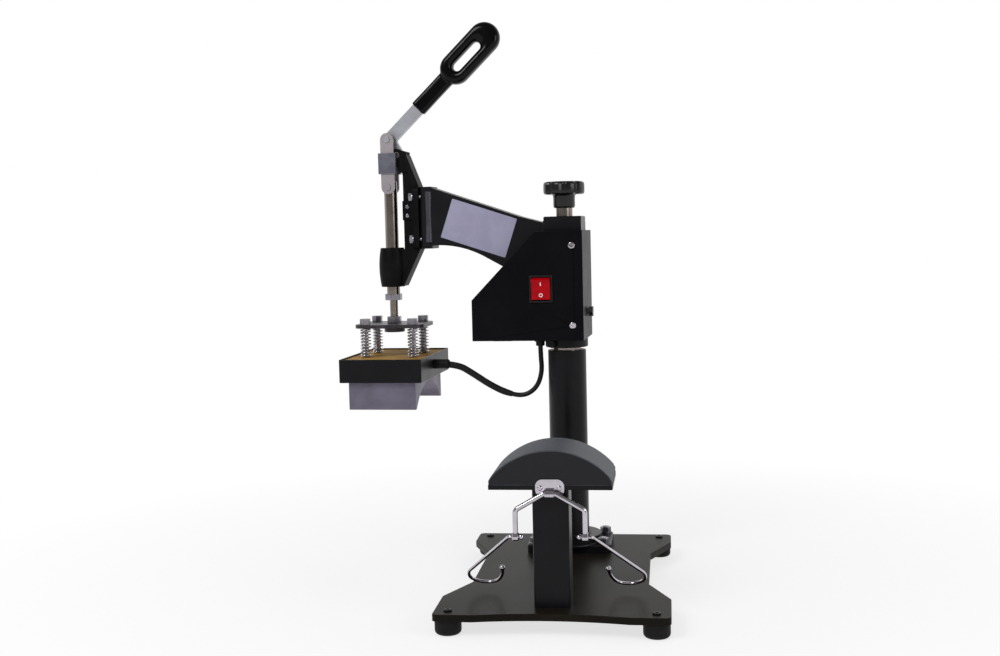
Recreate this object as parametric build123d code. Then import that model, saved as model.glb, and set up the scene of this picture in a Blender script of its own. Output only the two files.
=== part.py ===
"""Swing-away cap heat press, with its head swung to the left of the column.

Millimetres, +Z up.  The origin is on the table under the middle of the base plate, -Y is the front.
The head is drawn closed, with its arm along -Y and the column axis at X = Y = 0, and placed by at_head().
"""
from build123d import *
from math import cos, radians, sin, sqrt
import os

# ---- Base plate and feet
BASE_WIDTH = 270.0
BASE_LENGTH = 392.0
BASE_THICKNESS = 8.0
WAIST_WIDTH = 216.0
FRONT_LOBE = 76.0
FRONT_TAPER = 63.0
REAR_LOBE = 46.0
REAR_TAPER = 65.0
FRONT_RECESS = 9.0
LOBE_FRONT_WIDTH = 46.0
LOBE_ROUND = 7.0
FOOT_HEIGHT = 18.0
FOOT_DIAMETER = 31.0
FOOT_INSET = 16.5
FOOT_ROUND = 5.0
FOOT_SCREW = 6.0
FOOT_SCREW_HEAD = 10.0
FOOT_SCREW_HEAD_HEIGHT = 2.0
FOOT_SCREW_SOCKET = 4.0
FOOT_COUNTERBORE_DEPTH = 8.0
PLATE_BOTTOM = FOOT_HEIGHT
PLATE_TOP = FOOT_HEIGHT + BASE_THICKNESS

# ---- Pedestal and lower platen
PEDESTAL_SIDE = 42.0
PEDESTAL_WALL = 3.0
PEDESTAL_END_PLATE = 10.0
PEDESTAL_FRONT_INSET = 34.0
PEDESTAL_SCREW = 8.0
PEDESTAL_SCREW_SPACING = 20.0
PLATEN_BOTTOM = 163.0
PLATEN_PLATE_THICKNESS = 5.0
PLATEN_PLATE_WIDTH = 142.0
PLATEN_FRONT_INSET = 31.0
PAD_LENGTH = 92.0
PAD_HALF_WIDTH = 70.5
PAD_EDGE = 6.5
PAD_TOP = 208.0
PLATEN_SCREW = 6.0
PLATEN_SCREW_SPACING = 22.0

# ---- Column, its foot and the shaft that the head turns on
REACH = 238.0
COLUMN_DIAMETER = 51.0
COLUMN_WALL = 6.5
COLUMN_TOP = 296.0
FLANGE_WIDTH = 112.0
FLANGE_DEPTH = 86.0
FLANGE_THICKNESS = 11.0
FLANGE_OFFSET = 8.0
FLANGE_ROUND = 10.0
FLANGE_RING_DIAMETER = 84.0
FLANGE_RING_HEIGHT = 10.0
FLANGE_RING_GAP = 0.3
COLUMN_BOLT = 8.0
COLUMN_BOLT_INSET = 10.5
COLUMN_BOLT_TAIL = 1.0
SHAFT_BOTTOM = 200.0
SHAFT_TOP = 440.0

# ---- Cap clamp
CLAMP_WIRE = 6.0
HOOK_WIRE = 4.0
CLAMP_STANDOFF = 7.5
CLAMP_HINGE_DROP = 5.5
CLAMP_PLATE_WIDTH = 33.0
CLAMP_PLATE_HEIGHT = 20.0
CLAMP_PLATE_THICKNESS = 2.0
CLAMP_PLATE_ROUND = 8.0
CLAMP_BARREL_LENGTH = 10.0
CLAMP_BARREL_WALL = 1.6
CLAMP_SCREW = 3.0
CLAMP_SCREW_HEAD = 1.8
CLAMP_SCREW_DEPTH = 6.0
CLAMP_SCREW_SIDE = 11.0
ARCH_HALF_WIDTH = 39.5
ARCH_DROP = 49.0
ARCH_SHOULDER_DROP = 18.5
KNUCKLE_DIAMETER = 10.0
KNUCKLE_LENGTH = 7.0
HOOK_TILT = 47.0
HOOK_BALL = 6.5
HOOK_SHANK = 13.0
# (sideways from the knuckle, depth) points of the hook's bend, chosen by hand
HOOK_BEND = [(62.0, 80.0), (65.2, 89.0), (64.0, 99.0), (56.5, 107.0), (42.0, 110.0), (29.5, 102.0), (24.2, 87.0), (23.0, 74.0)]

# ---- Swing of the head, and the sleeve that carries it
SWING = 93.0
HEAD_BOTTOM = 312.0
SLEEVE_SIDE = 50.0
SLEEVE_WALL = 4.0
SLEEVE_TOP = 466.0
SLEEVE_CAP_THICKNESS = 8.0
BUSH_HEIGHT = 15.0
COLLAR_DIAMETER = 57.0
COLLAR_HEIGHT = 12.0
COLLAR_BOLT = 6.0
COLLAR_BOLT_ANGLE = -30.0
RUNNING_FIT = 0.05
LIFT_DOWN = 3.0
LIFT_UP = 6.0

# ---- Pressure knob
STEM_DIAMETER = 12.0
STEM_SHOULDER = 26.0
STEM_SHOULDER_HEIGHT = 6.0
STEM_ENGAGEMENT = 34.0
THRUST_THICKNESS = 3.0
THRUST_DIAMETER = 34.0
NECK_DIAMETER = 22.0
NECK_HEIGHT = 11.0
HUB_DIAMETER = 29.0
HUB_HEIGHT = 18.0
KNOB_DIAMETER = 55.0
KNOB_HEIGHT = 17.0
KNOB_LOBES = 8
KNOB_SCALLOP = 11.0
KNOB_SCALLOP_DEPTH = 3.0

# ---- Arm and rating plate
ARM_WIDTH = 38.0
ARM_WALL = 3.0
ARM_END = 195.0
ARM_END_DEPTH = 18.0
ARM_END_BOTTOM = 435.0
ARM_END_TOP = 518.0
ARM_END_ROUND = 8.0
ARM_CREST_OUT = 58.0
ARM_CREST_HEIGHT = 475.0
ARM_ROOT_BOTTOM = 378.0
ARM_BELLY_OUT = 108.0
ARM_BELLY_HEIGHT = 424.0
ARM_BELLY_RISE = 5.0
LABEL_LENGTH = 92.0
LABEL_HEIGHT = 54.0
LABEL_THICKNESS = 0.6
LABEL_OUT = 113.0
LABEL_LEVEL = 461.0
LABEL_TILT = 18.5

# ---- Toggle: bracket, lever, link and plunger
HINGE_LEVEL = 562.0
CRANK = 24.0
CRANK_ANGLE = 60.0
LINK_LENGTH = 64.0
PIN_DIAMETER = 8.0
PIN_FIT = 0.05
LEVER_THICKNESS = 8.0
LEVER_WIDTH = 17.0
LEVER_ANGLE = 136.0
LEVER_LENGTH = 123.0
EAR_GAP = 0.5
EAR_THICKNESS = 5.0
EAR_RADIUS = 8.5
LINK_GAP = 0.5
LINK_PLATE = 4.0
LINK_PANEL = 2.0
LINK_WIDTH = 24.0
LINK_END_WIDTH = 18.0
LINK_PANEL_HEIGHT = 28.0
BRACKET_FLANGE = 8.0
BRACKET_FLANGE_WIDTH = 40.0
BRACKET_WEB = 16.0
BRACKET_BOLT = 6.0
BRACKET_BOLT_ACROSS = 10.0
SPOT_FACE = 11.6
BRACKET_BOLT_SIDE = 14.0
BRACKET_BOLT_INSET = 13.0
BARREL_BOTTOM = 384.0
BARREL_TOP = 437.0
BARREL_DIAMETER = 37.0
BARREL_END_DIAMETER = 32.0
GUIDE_BUSH_WALL = 2.5
STOP_BLOCK_HEIGHT = 26.0
STOP_BLOCK_LEVEL = 487.0
STOP_SCREW = 4.0

GRIP_START = 58.0
GRIP_NECK_LENGTH = 53.0
GRIP_WIDTH = 22.0
GRIP_THICKNESS = 14.0
GRIP_LOOP_THICKNESS = 23.0
GRIP_LOOP_LENGTH = 98.0
GRIP_LOOP_WIDTH = 42.0
GRIP_SLOT_LENGTH = 48.0
GRIP_SLOT_WIDTH = 12.0
GRIP_SLOT_END_INSET = 31.0
GRIP_NECK_OVERLAP = 12.0
GRIP_ROUND = 4.5

ROD_DIAMETER = 18.0
ROD_FOOT_BOTTOM = 374.0
STUD_DIAMETER = 11.0
UPPER_NUT_ACROSS = 21.0
UPPER_NUT_HEIGHT = 8.5
LOWER_NUT_ACROSS = 17.5
LOWER_NUT_HEIGHT = 9.0
SPIDER_TOP = 334.0
SPIDER_THICKNESS = 5.0
SPIDER_LENGTH = 96.0
SPIDER_WIDTH = 76.0
SPIDER_ROUND = 14.0
SPIDER_HUB_DIAMETER = 28.0
SPIDER_HUB_HEIGHT = 7.0

# ---- Heated platen on its sprung bolts
FLOAT = 4.0
GUIDE_BOLT = 8.0
GUIDE_BOLT_OUT = 33.0
GUIDE_BOLT_SIDE = 30.0
GUIDE_BOLT_HEAD = 8.0
GUIDE_BOLT_DEPTH = 14.0
GUIDE_HOLE_CLEARANCE = 1.0
SPRING_DIAMETER = 15.0
SPRING_WIRE = 1.8
SPRING_TURNS = 9
COVER_LENGTH = 112.0
COVER_WIDTH = 165.0
COVER_TOP = 291.5
COVER_BOTTOM = 260.5
COVER_WALL = 2.0
BOARD_TOP = 289.5
BOARD_THICKNESS = 8.0
HEATER_THICKNESS = 4.0
HEATER_MARGIN = 6.0
BLOCK_LENGTH = 91.0
BLOCK_WIDTH = 148.0
BLOCK_BOTTOM = 224.0
BLOCK_APEX = 254.0
BLOCK_GAP = 1.4
SOFT_GAP = 0.3

# ---- Control box on the sleeve
BOX_FRONT = 50.0
BOX_BACK = 50.0
BOX_INNER_END = 29.0
BOX_OUTER_END = 119.0
BOX_TOP = 455.0
BOX_CORNER_OUT = 33.0
BOX_CORNER_HEIGHT = 366.0
BOX_WALL = 1.5
BOX_ROUND = 3.0
BOX_SCREW = 5.0
BOX_SCREW_OUT = -15.0
BOX_SCREW_LEVELS = (332.0, 436.0)
BOX_SCREW_LENGTH = 16.0
LUG_SIDE = 12.0
OPENING_CLEARANCE = 0.5

SWITCH_OUT = 26.0
SWITCH_LEVEL = 380.0
SWITCH_WIDTH = 31.0
SWITCH_HEIGHT = 36.0
SWITCH_FLANGE = 2.5
SWITCH_BODY_DEPTH = 20.0
SWITCH_RIM = 2.6
ROCKER_GAP = 0.6
ROCKER_DEPTH = 9.0
ROCKER_RISE = 4.0
ROCKER_TILT = 8.0

PANEL_OUT = 52.0
PANEL_LEVEL = 354.0
PANEL_WIDTH = 72.0
PANEL_HEIGHT = 66.0
PANEL_FLANGE = 3.0
PANEL_BODY_WIDTH = 66.0
PANEL_BODY_HEIGHT = 60.0
PANEL_BODY_DEPTH = 22.0
WINDOW_WIDTH = 56.0
WINDOW_HEIGHT = 24.0
WINDOW_RISE = 13.0
WINDOW_THICKNESS = 1.5
BUTTON_SPACING = 18.0
BUTTON_DROP = 16.0
BUTTON_DIAMETER = 10.0
BUTTON_LENGTH = 7.0
BUTTON_PROUD = 2.0
BUTTON_TRAVEL = 1.2
BUTTON_FIT = 0.2
BOARD_WIDTH = 62.0
BOARD_HEIGHT = 56.0
CIRCUIT_BOARD = 1.6

INLET_OUT = 84.0
INLET_LENGTH = 48.0
INLET_WIDTH = 28.0
INLET_DEPTH = 24.0
INLET_FLANGE = 2.5
INLET_SOCKET_LENGTH = 24.5
INLET_SOCKET_WIDTH = 17.0
INLET_SOCKET_DEPTH = 18.0
INLET_PIN_LENGTH = 13.0

GLAND_OUT = 36.0
GLAND_ACROSS = 14.0
GLAND_LENGTH = 11.0
GLAND_TAIL = 8.0
PLATEN_GLAND_LEVEL = 277.0
PLATEN_GLAND_LENGTH = 20.0
PLATEN_GLAND_DIAMETER = 13.0

SIDE_BOLT = 8.0
SIDE_BOLT_LEVEL = 347.0
SIDE_BOLT_SHANK = 6.0

# ---- Heater cable: (outward, sideways, height) points chosen by hand, between the two glands
CABLE_DIAMETER = 6.5
CABLE_POINTS = [
    (182.0, 0.0, 277.0),
    (152.0, 0.0, 277.0),
    (129.0, 1.0, 263.5),
    (106.0, 2.0, 248.5),
    (83.0, 3.0, 237.5),
    (59.0, 3.0, 233.0),
    (41.0, 2.0, 245.0),
    (34.0, 1.0, 267.0),
    (36.0, 0.0, 290.0),
    (36.0, 0.0, 316.0),
]

# ---- Places worked out from the sizes above
FRONT = -BASE_LENGTH / 2
PEDESTAL_Y = FRONT + PEDESTAL_FRONT_INSET + PEDESTAL_SIDE / 2
PEDESTAL_FACE = FRONT + PEDESTAL_FRONT_INSET
PLATEN_Y = FRONT + PLATEN_FRONT_INSET + PAD_LENGTH / 2
COLUMN_Y = PLATEN_Y + REACH
FLANGE_Y = COLUMN_Y + FLANGE_OFFSET
FLANGE_TOP = PLATE_TOP + FLANGE_THICKNESS
PLATEN_TOP = PLATEN_BOTTOM + PLATEN_PLATE_THICKNESS
SHAFT_DIAMETER = COLUMN_DIAMETER - 2 * COLUMN_WALL
COLLAR_BOTTOM = HEAD_BOTTOM - COLLAR_HEIGHT
CAP_TOP = SLEEVE_TOP + SLEEVE_CAP_THICKNESS
THRUST_BOTTOM = SLEEVE_TOP - THRUST_THICKNESS
STEM_BOTTOM = SHAFT_TOP - STEM_ENGAGEMENT
CLAMP_FACE = FRONT + PLATEN_FRONT_INSET
CLAMP_Y = CLAMP_FACE - CLAMP_STANDOFF
CLAMP_SCREW_LEVEL = PLATEN_BOTTOM + PLATEN_PLATE_THICKNESS / 2
CLAMP_HINGE_HEIGHT = CLAMP_SCREW_LEVEL - CLAMP_HINGE_DROP
KNUCKLE_HEIGHT = CLAMP_HINGE_HEIGHT - ARCH_DROP
HINGE_OUT = REACH - CRANK * cos(radians(CRANK_ANGLE))
KNEE_LEVEL = HINGE_LEVEL + CRANK * sin(radians(CRANK_ANGLE))
PLUNGER_PIN_LEVEL = KNEE_LEVEL - LINK_LENGTH
TRAVEL = 2 * CRANK * sin(radians(CRANK_ANGLE))
EAR_INNER = LEVER_THICKNESS / 2 + EAR_GAP
EAR_OUTER = EAR_INNER + EAR_THICKNESS
LINK_INNER = EAR_OUTER + LINK_GAP
LINK_OUTER = LINK_INNER + LINK_PLATE
SPIDER_BOTTOM = SPIDER_TOP - SPIDER_THICKNESS
BOARD_BOTTOM = BOARD_TOP - BOARD_THICKNESS
BLOCK_TOP = BOARD_BOTTOM - HEATER_THICKNESS
PAD_SPRINGING = PLATEN_TOP + PAD_EDGE
PAD_RISE = PAD_TOP - PAD_SPRINGING
PAD_RADIUS = (PAD_HALF_WIDTH ** 2 + PAD_RISE ** 2) / (2 * PAD_RISE)


# ---- Small shared helpers
def box(x_range, y_range, z_range):
    """A box between two values on each axis."""
    size = [high - low for low, high in (x_range, y_range, z_range)]
    middle = [(high + low) / 2 for low, high in (x_range, y_range, z_range)]
    return Pos(*middle) * Box(*size)


def rod(diameter, bottom, top, x=0.0, y=0.0):
    """An upright cylinder between two heights."""
    return Pos(x, y, (bottom + top) / 2) * Cylinder(diameter / 2, top - bottom)


def hexagon(across, bottom, top, x=0.0, y=0.0):
    """An upright hexagonal prism, by its width across the flats."""
    profile = RegularPolygon(across / 2, 6, major_radius=False)
    return Pos(x, y, bottom) * extrude(profile, top - bottom)


def pin(diameter, length, x, y, z):
    """A cylinder along X, about a middle point."""
    return Pos(x, y, z) * Rot(0, 90, 0) * Cylinder(diameter / 2, length)


def side_profile(points, x_low, x_high):
    """A plate in the plane of the arm: (outward, height) points, between two sideways values."""
    face = make_face(Polyline(*[(-out, height) for out, height in points], close=True).edges())
    return Pos(x_low, 0, 0) * extrude(Plane.YZ * face, x_high - x_low)


def along_x(face, x_low, x_high):
    """A face drawn as (outward, height), as a plate between two sideways values."""
    return Pos(x_low, 0, 0) * extrude(Plane.YZ * mirror(face, Plane.YZ), x_high - x_low)


def tube_path(points, diameter):
    """A round bar along straight runs joined by tangent arcs, and the arc radii."""
    runs = [(Vector(*b) - Vector(*a)) for a, b in zip(points, points[1:])]
    radii = []
    for before, after in zip(runs, runs[1:]):
        turn = radians(before.get_angle(after))
        radii.append(0.45 * min(before.length, after.length) / sin(turn / 2) * cos(turn / 2))
    path = FilletPolyline(*points, radius=radii)
    start = Plane(origin=path @ 0, z_dir=path % 0)
    return sweep(start * Circle(diameter / 2), path=path), radii


def at_head(shape):
    """Place a piece drawn closed on the swung head."""
    return Location((0, COLUMN_Y, 0), (0, 0, -SWING)) * shape


def group(shapes):
    """Separate solids kept in one node."""
    return Compound(children=[solid for shape in shapes for solid in shape.solids()])


# ---- Base
def lobe_places():
    """The four feet, inside the corners of the base plate."""
    x = BASE_WIDTH / 2 - FOOT_INSET
    y = BASE_LENGTH / 2 - FOOT_INSET
    return [(sx * x, sy * y) for sx in (-1, 1) for sy in (-1, 1)]


def flange_bolt_places():
    x = FLANGE_WIDTH / 2 - COLUMN_BOLT_INSET
    y = FLANGE_DEPTH / 2 - COLUMN_BOLT_INSET
    return [(sx * x, FLANGE_Y + sy * y) for sx in (-1, 1) for sy in (-1, 1)]


def pedestal_screw_places():
    return [(s * PEDESTAL_SCREW_SPACING / 2, PEDESTAL_Y) for s in (-1, 1)]


def platen_screw_places():
    s = PLATEN_SCREW_SPACING / 2
    return [(sx * s, PEDESTAL_Y + sy * s) for sx in (-1, 1) for sy in (-1, 1)]


def base_plate():
    half, waist = BASE_WIDTH / 2, WAIST_WIDTH / 2
    back = BASE_LENGTH / 2
    right = [
        (half - LOBE_FRONT_WIDTH, FRONT),
        (half, FRONT),
        (half, FRONT + FRONT_LOBE),
        (waist, FRONT + FRONT_LOBE + FRONT_TAPER),
        (waist, back - REAR_LOBE - REAR_TAPER),
        (half, back - REAR_LOBE),
        (half, back),
    ]
    left = [(-x, y) for x, y in reversed(right)]
    outline = Polyline(*right) + Line(right[-1], left[0]) + Polyline(*left)
    outline += ThreePointArc(left[-1], (0, FRONT + FRONT_RECESS), right[0])
    plate = Pos(0, 0, PLATE_BOTTOM) * extrude(make_face(outline.edges()), BASE_THICKNESS)
    corners = [e for e in plate.edges().filter_by(Axis.Z) if abs(e.center().X) > waist - 1]
    plate = fillet(corners, LOBE_ROUND)
    top = plate.faces().sort_by(Axis.Z)[-1]
    plate = fillet(top.outer_wire().edges(), 1.2)
    for x, y in lobe_places():
        plate -= rod(FOOT_SCREW, PLATE_BOTTOM, PLATE_TOP, x, y)
    for x, y in pedestal_screw_places():
        plate -= rod(PEDESTAL_SCREW, PLATE_BOTTOM, PLATE_TOP, x, y)
    for x, y in flange_bolt_places():
        plate -= rod(COLUMN_BOLT, PLATE_BOTTOM, PLATE_TOP, x, y)
    return plate


def feet():
    pads = []
    for x, y in lobe_places():
        foot = rod(FOOT_DIAMETER, 0, FOOT_HEIGHT, x, y)
        foot = fillet(foot.edges().sort_by(Axis.Z)[0], FOOT_ROUND)
        foot -= rod(FOOT_SCREW, FOOT_COUNTERBORE_DEPTH, FOOT_HEIGHT, x, y)
        pads.append(foot)
    return group(pads)


def foot_screws():
    screws = []
    for x, y in lobe_places():
        screw = rod(FOOT_SCREW, FOOT_COUNTERBORE_DEPTH, PLATE_TOP, x, y)
        head = rod(FOOT_SCREW_HEAD, PLATE_TOP, PLATE_TOP + FOOT_SCREW_HEAD_HEIGHT, x, y)
        head = fillet(head.edges().sort_by(Axis.Z)[-1], FOOT_SCREW_HEAD_HEIGHT * 0.6)
        socket = hexagon(FOOT_SCREW_SOCKET, PLATE_TOP + 0.8, PLATE_TOP + FOOT_SCREW_HEAD_HEIGHT, x, y)
        screws.append(screw + head - socket)
    return group(screws)


def pedestal():
    half = PEDESTAL_SIDE / 2
    bore = half - PEDESTAL_WALL
    tube = box((-half, half), (PEDESTAL_Y - half, PEDESTAL_Y + half), (PLATE_TOP, PLATEN_BOTTOM))
    tube = fillet(tube.edges().filter_by(Axis.Z), 3.0)
    hollow = (PLATE_TOP + PEDESTAL_END_PLATE, PLATEN_BOTTOM - PEDESTAL_END_PLATE)
    tube -= box((-bore, bore), (PEDESTAL_Y - bore, PEDESTAL_Y + bore), hollow)
    for x, y in pedestal_screw_places():
        tube -= rod(PEDESTAL_SCREW, PLATE_TOP, hollow[0], x, y)
    for x, y in platen_screw_places():
        tube -= rod(PLATEN_SCREW, hollow[1], PLATEN_BOTTOM, x, y)
    return tube


def pedestal_screws():
    screws = []
    for x, y in pedestal_screw_places():
        shank = rod(PEDESTAL_SCREW, PLATE_BOTTOM, PLATE_TOP + PEDESTAL_END_PLATE, x, y)
        head = rod(PEDESTAL_SCREW * 1.7, PLATE_BOTTOM - 4.5, PLATE_BOTTOM, x, y)
        socket = hexagon(5.0, PLATE_BOTTOM - 4.5, PLATE_BOTTOM - 2.0, x, y)
        screws.append(shank + head - socket)
    return group(screws)


def platen_span():
    return (PLATEN_Y - PAD_LENGTH / 2, PLATEN_Y + PAD_LENGTH / 2)


def clamp_screw_holes():
    """The tapped holes in the front edge of the platen plate that hold the clamp."""
    hole = Rot(90, 0, 0) * Cylinder(CLAMP_SCREW / 2, 2 * CLAMP_SCREW_DEPTH)
    return group([Pos(side * CLAMP_SCREW_SIDE, CLAMP_FACE, CLAMP_SCREW_LEVEL) * hole for side in (-1, 1)])


def countersunk(diameter, bottom, top, x, y):
    """A countersunk screw, flush with the face at top."""
    sink = diameter / 2
    cone = Pos(x, y, top - sink / 2) * Cone(diameter / 2, diameter, sink)
    return rod(diameter, bottom, top, x, y) + cone


def lower_platen_plate():
    half = PLATEN_PLATE_WIDTH / 2
    plate = box((-half, half), platen_span(), (PLATEN_BOTTOM, PLATEN_TOP))
    plate = fillet(plate.edges().filter_by(Axis.Z), 2.0)
    for x, y in platen_screw_places():
        plate -= countersunk(PLATEN_SCREW, PLATEN_BOTTOM, PLATEN_TOP, x, y)
    return plate - clamp_screw_holes()


def platen_screws():
    bottom = PLATEN_BOTTOM - PEDESTAL_END_PLATE
    screws = []
    for x, y in platen_screw_places():
        screw = countersunk(PLATEN_SCREW, bottom, PLATEN_TOP, x, y)
        screws.append(screw - hexagon(3.0, PLATEN_TOP - 2.0, PLATEN_TOP, x, y))
    return group(screws)


def lower_pad():
    """The silicone pad: part of a cylinder above short upright sides."""
    low, high = platen_span()
    drum = Pos(0, PLATEN_Y, PAD_TOP - PAD_RADIUS) * Rot(90, 0, 0) * Cylinder(PAD_RADIUS, PAD_LENGTH)
    pad = drum & box((-PAD_HALF_WIDTH, PAD_HALF_WIDTH), (low, high), (PLATEN_TOP, PAD_TOP + 1))
    crown = [edge for edge in pad.edges().filter_by(GeomType.CIRCLE)]
    return fillet(crown, 1.5)


def column():
    tube = rod(COLUMN_DIAMETER, FLANGE_TOP, COLUMN_TOP, 0, COLUMN_Y)
    return tube - rod(SHAFT_DIAMETER, FLANGE_TOP, COLUMN_TOP, 0, COLUMN_Y)


def column_flange():
    half, depth = FLANGE_WIDTH / 2, FLANGE_DEPTH / 2
    flange = box((-half, half), (FLANGE_Y - depth, FLANGE_Y + depth), (PLATE_TOP, FLANGE_TOP))
    flange = fillet(flange.edges().filter_by(Axis.Z), FLANGE_ROUND)
    flange = fillet(flange.faces().sort_by(Axis.Z)[-1].outer_wire().edges(), 2.0)
    for x, y in flange_bolt_places():
        flange -= rod(COLUMN_BOLT, PLATE_TOP, FLANGE_TOP, x, y)
    ring_top = FLANGE_TOP + FLANGE_RING_HEIGHT
    flange += rod(FLANGE_RING_DIAMETER, FLANGE_TOP, ring_top, 0, COLUMN_Y)
    return flange - rod(COLUMN_DIAMETER + 2 * FLANGE_RING_GAP, FLANGE_TOP, ring_top, 0, COLUMN_Y)


def column_bolts():
    bolts = []
    washer, nut = 1.6, 6.5
    for x, y in flange_bolt_places():
        top = FLANGE_TOP + washer + nut + COLUMN_BOLT_TAIL
        bolt = rod(COLUMN_BOLT, PLATE_BOTTOM, top, x, y)
        bolt += hexagon(COLUMN_BOLT * 1.6, PLATE_BOTTOM - 5.3, PLATE_BOTTOM, x, y)
        bolt += rod(COLUMN_BOLT * 2, FLANGE_TOP, FLANGE_TOP + washer, x, y)
        bolt += hexagon(COLUMN_BOLT * 1.6, FLANGE_TOP + washer, FLANGE_TOP + washer + nut, x, y)
        bolts.append(bolt)
    return group(bolts)


def swing_shaft():
    shaft = rod(SHAFT_DIAMETER, SHAFT_BOTTOM, SHAFT_TOP, 0, COLUMN_Y)
    shaft = chamfer(shaft.edges().sort_by(Axis.Z)[-1], 1.5)
    return shaft - rod(STEM_DIAMETER + 2 * RUNNING_FIT, stem_bore_bottom(), SHAFT_TOP, 0, COLUMN_Y)


def stem_bore_bottom():
    return STEM_BOTTOM - LIFT_DOWN - 5.0


# ---- Cap clamp on the front of the pedestal
def clamp_bracket():
    """A plate screwed to the platen plate's front edge, with a barrel that the arch turns in."""
    half, barrel = CLAMP_PLATE_WIDTH / 2, CLAMP_WIRE / 2 + CLAMP_BARREL_WALL
    face = (CLAMP_FACE - CLAMP_PLATE_THICKNESS, CLAMP_FACE)
    middle = CLAMP_SCREW_LEVEL
    plate = box((-half, half), face, (middle - CLAMP_PLATE_HEIGHT / 2, middle + CLAMP_PLATE_HEIGHT / 2))
    plate = fillet(plate.edges().filter_by(Axis.Y), CLAMP_PLATE_ROUND)
    short = CLAMP_BARREL_LENGTH / 2
    web = box((-short, short), (CLAMP_Y, face[0]), (CLAMP_HINGE_HEIGHT - barrel, CLAMP_HINGE_HEIGHT + barrel))
    bracket = plate + web + pin(2 * barrel, CLAMP_BARREL_LENGTH, 0, CLAMP_Y, CLAMP_HINGE_HEIGHT)
    bore = CLAMP_WIRE + 2 * RUNNING_FIT
    bracket -= pin(bore, CLAMP_BARREL_LENGTH, 0, CLAMP_Y, CLAMP_HINGE_HEIGHT)
    return bracket - clamp_screw_holes()


def clamp_screws():
    front = CLAMP_FACE - CLAMP_PLATE_THICKNESS
    back = CLAMP_FACE + CLAMP_SCREW_DEPTH
    screws = []
    for side in (-1, 1):
        turned = Pos(side * CLAMP_SCREW_SIDE, 0, CLAMP_SCREW_LEVEL) * Rot(90, 0, 0)
        shank = turned * Pos(0, 0, -(front + back) / 2) * Cylinder(CLAMP_SCREW / 2, back - front)
        head = turned * Pos(0, 0, -front + CLAMP_SCREW_HEAD / 2) * Cylinder(CLAMP_SCREW, CLAMP_SCREW_HEAD)
        screws.append(shank + fillet(head.edges().sort_by(Axis.Y)[0], CLAMP_SCREW_HEAD * 0.7))
    return group(screws)


def clamp_arch():
    """A wire arch whose middle lies in the bracket's barrel and whose legs end in knuckles."""
    inner = CLAMP_BARREL_LENGTH / 2
    shoulder = CLAMP_HINGE_HEIGHT - ARCH_SHOULDER_DROP
    half = [
        (0, CLAMP_HINGE_HEIGHT),
        (inner + 2, CLAMP_HINGE_HEIGHT),
        (ARCH_HALF_WIDTH, shoulder),
        (ARCH_HALF_WIDTH, KNUCKLE_HEIGHT + KNUCKLE_DIAMETER / 2 - 1),
    ]
    right = [(x, CLAMP_Y, z) for x, z in half[1:]]
    left = [(-x, y, z) for x, y, z in reversed(right)]
    path = FilletPolyline(*left, *right, radius=[6, 5, 5, 6])
    start = Plane(origin=path @ 0, z_dir=path % 0)
    arch = sweep(start * Circle(CLAMP_WIRE / 2), path=path)
    for side in (-1, 1):
        knuckle = pin(KNUCKLE_DIAMETER, KNUCKLE_LENGTH, side * ARCH_HALF_WIDTH, CLAMP_Y, KNUCKLE_HEIGHT)
        arch += chamfer(knuckle.edges().filter_by(GeomType.CIRCLE), 0.6)
    bore = HOOK_WIRE + 2 * RUNNING_FIT
    return arch - pin(bore, 3 * ARCH_HALF_WIDTH, 0, CLAMP_Y, KNUCKLE_HEIGHT)


def hook(side):
    """One wire hook: a pin through the knuckle, a long shank and a U that ends in a ball.

    It is drawn on the left and mirrored for the right.
    """
    tilt = radians(HOOK_TILT)

    def place(x, depth):
        return (-x, CLAMP_Y + depth * sin(tilt), KNUCKLE_HEIGHT - depth * cos(tilt))

    inner = ARCH_HALF_WIDTH - KNUCKLE_LENGTH / 2 - 3
    outer = ARCH_HALF_WIDTH + KNUCKLE_LENGTH / 2 + 4
    bend = [place(ARCH_HALF_WIDTH + x, depth) for x, depth in HOOK_BEND]
    pin_end = place(inner, 0)
    lead = FilletPolyline(pin_end, place(outer, 0), bend[0], radius=4.5)
    path = Wire([*lead.edges(), *Spline(*bend, tangents=[lead % 1, Vector(*bend[-1]) - Vector(*bend[-2])]).edges()])
    start = Plane(origin=path @ 0, z_dir=path % 0)
    wire = sweep(start * Circle(HOOK_WIRE / 2), path=path)
    wire += Pos(*pin_end) * Sphere(HOOK_BALL / 2)
    wire += Pos(*bend[-1]) * Sphere(HOOK_BALL / 2)
    return wire if side < 0 else mirror(wire, about=Plane.YZ)


# ---- Head: sleeve, cap and bushes around the shaft
def square_ring(outer, inner, bottom, top):
    ring = box((-outer / 2, outer / 2), (-outer / 2, outer / 2), (bottom, top))
    return ring - box((-inner / 2, inner / 2), (-inner / 2, inner / 2), (bottom, top))


def head_sleeve():
    """A square tube, with a lug on each side for the screws of the control box."""
    bore = SLEEVE_SIDE - 2 * SLEEVE_WALL
    tube = square_ring(SLEEVE_SIDE, bore, HEAD_BOTTOM, SLEEVE_TOP)
    for out, level in box_screw_places():
        for start, end in ((SLEEVE_SIDE / 2, BOX_FRONT - BOX_WALL), (BOX_WALL - BOX_BACK, -SLEEVE_SIDE / 2)):
            lug = box((start, end), (-out - LUG_SIDE / 2, -out + LUG_SIDE / 2),
                      (level - LUG_SIDE / 2, level + LUG_SIDE / 2))
            tube += lug - pin(BOX_SCREW, 2 * abs(end - start), (start + end) / 2, -out, level)
    return tube - side_bolt_hole()


def side_bolt_hole():
    start = SLEEVE_SIDE / 2 - SLEEVE_WALL
    length = BOX_INNER_END + BOX_WALL - start
    hole = Rot(90, 0, 0) * Cylinder(SIDE_BOLT / 2, length)
    return Pos(0, start + length / 2, SIDE_BOLT_LEVEL) * hole


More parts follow.
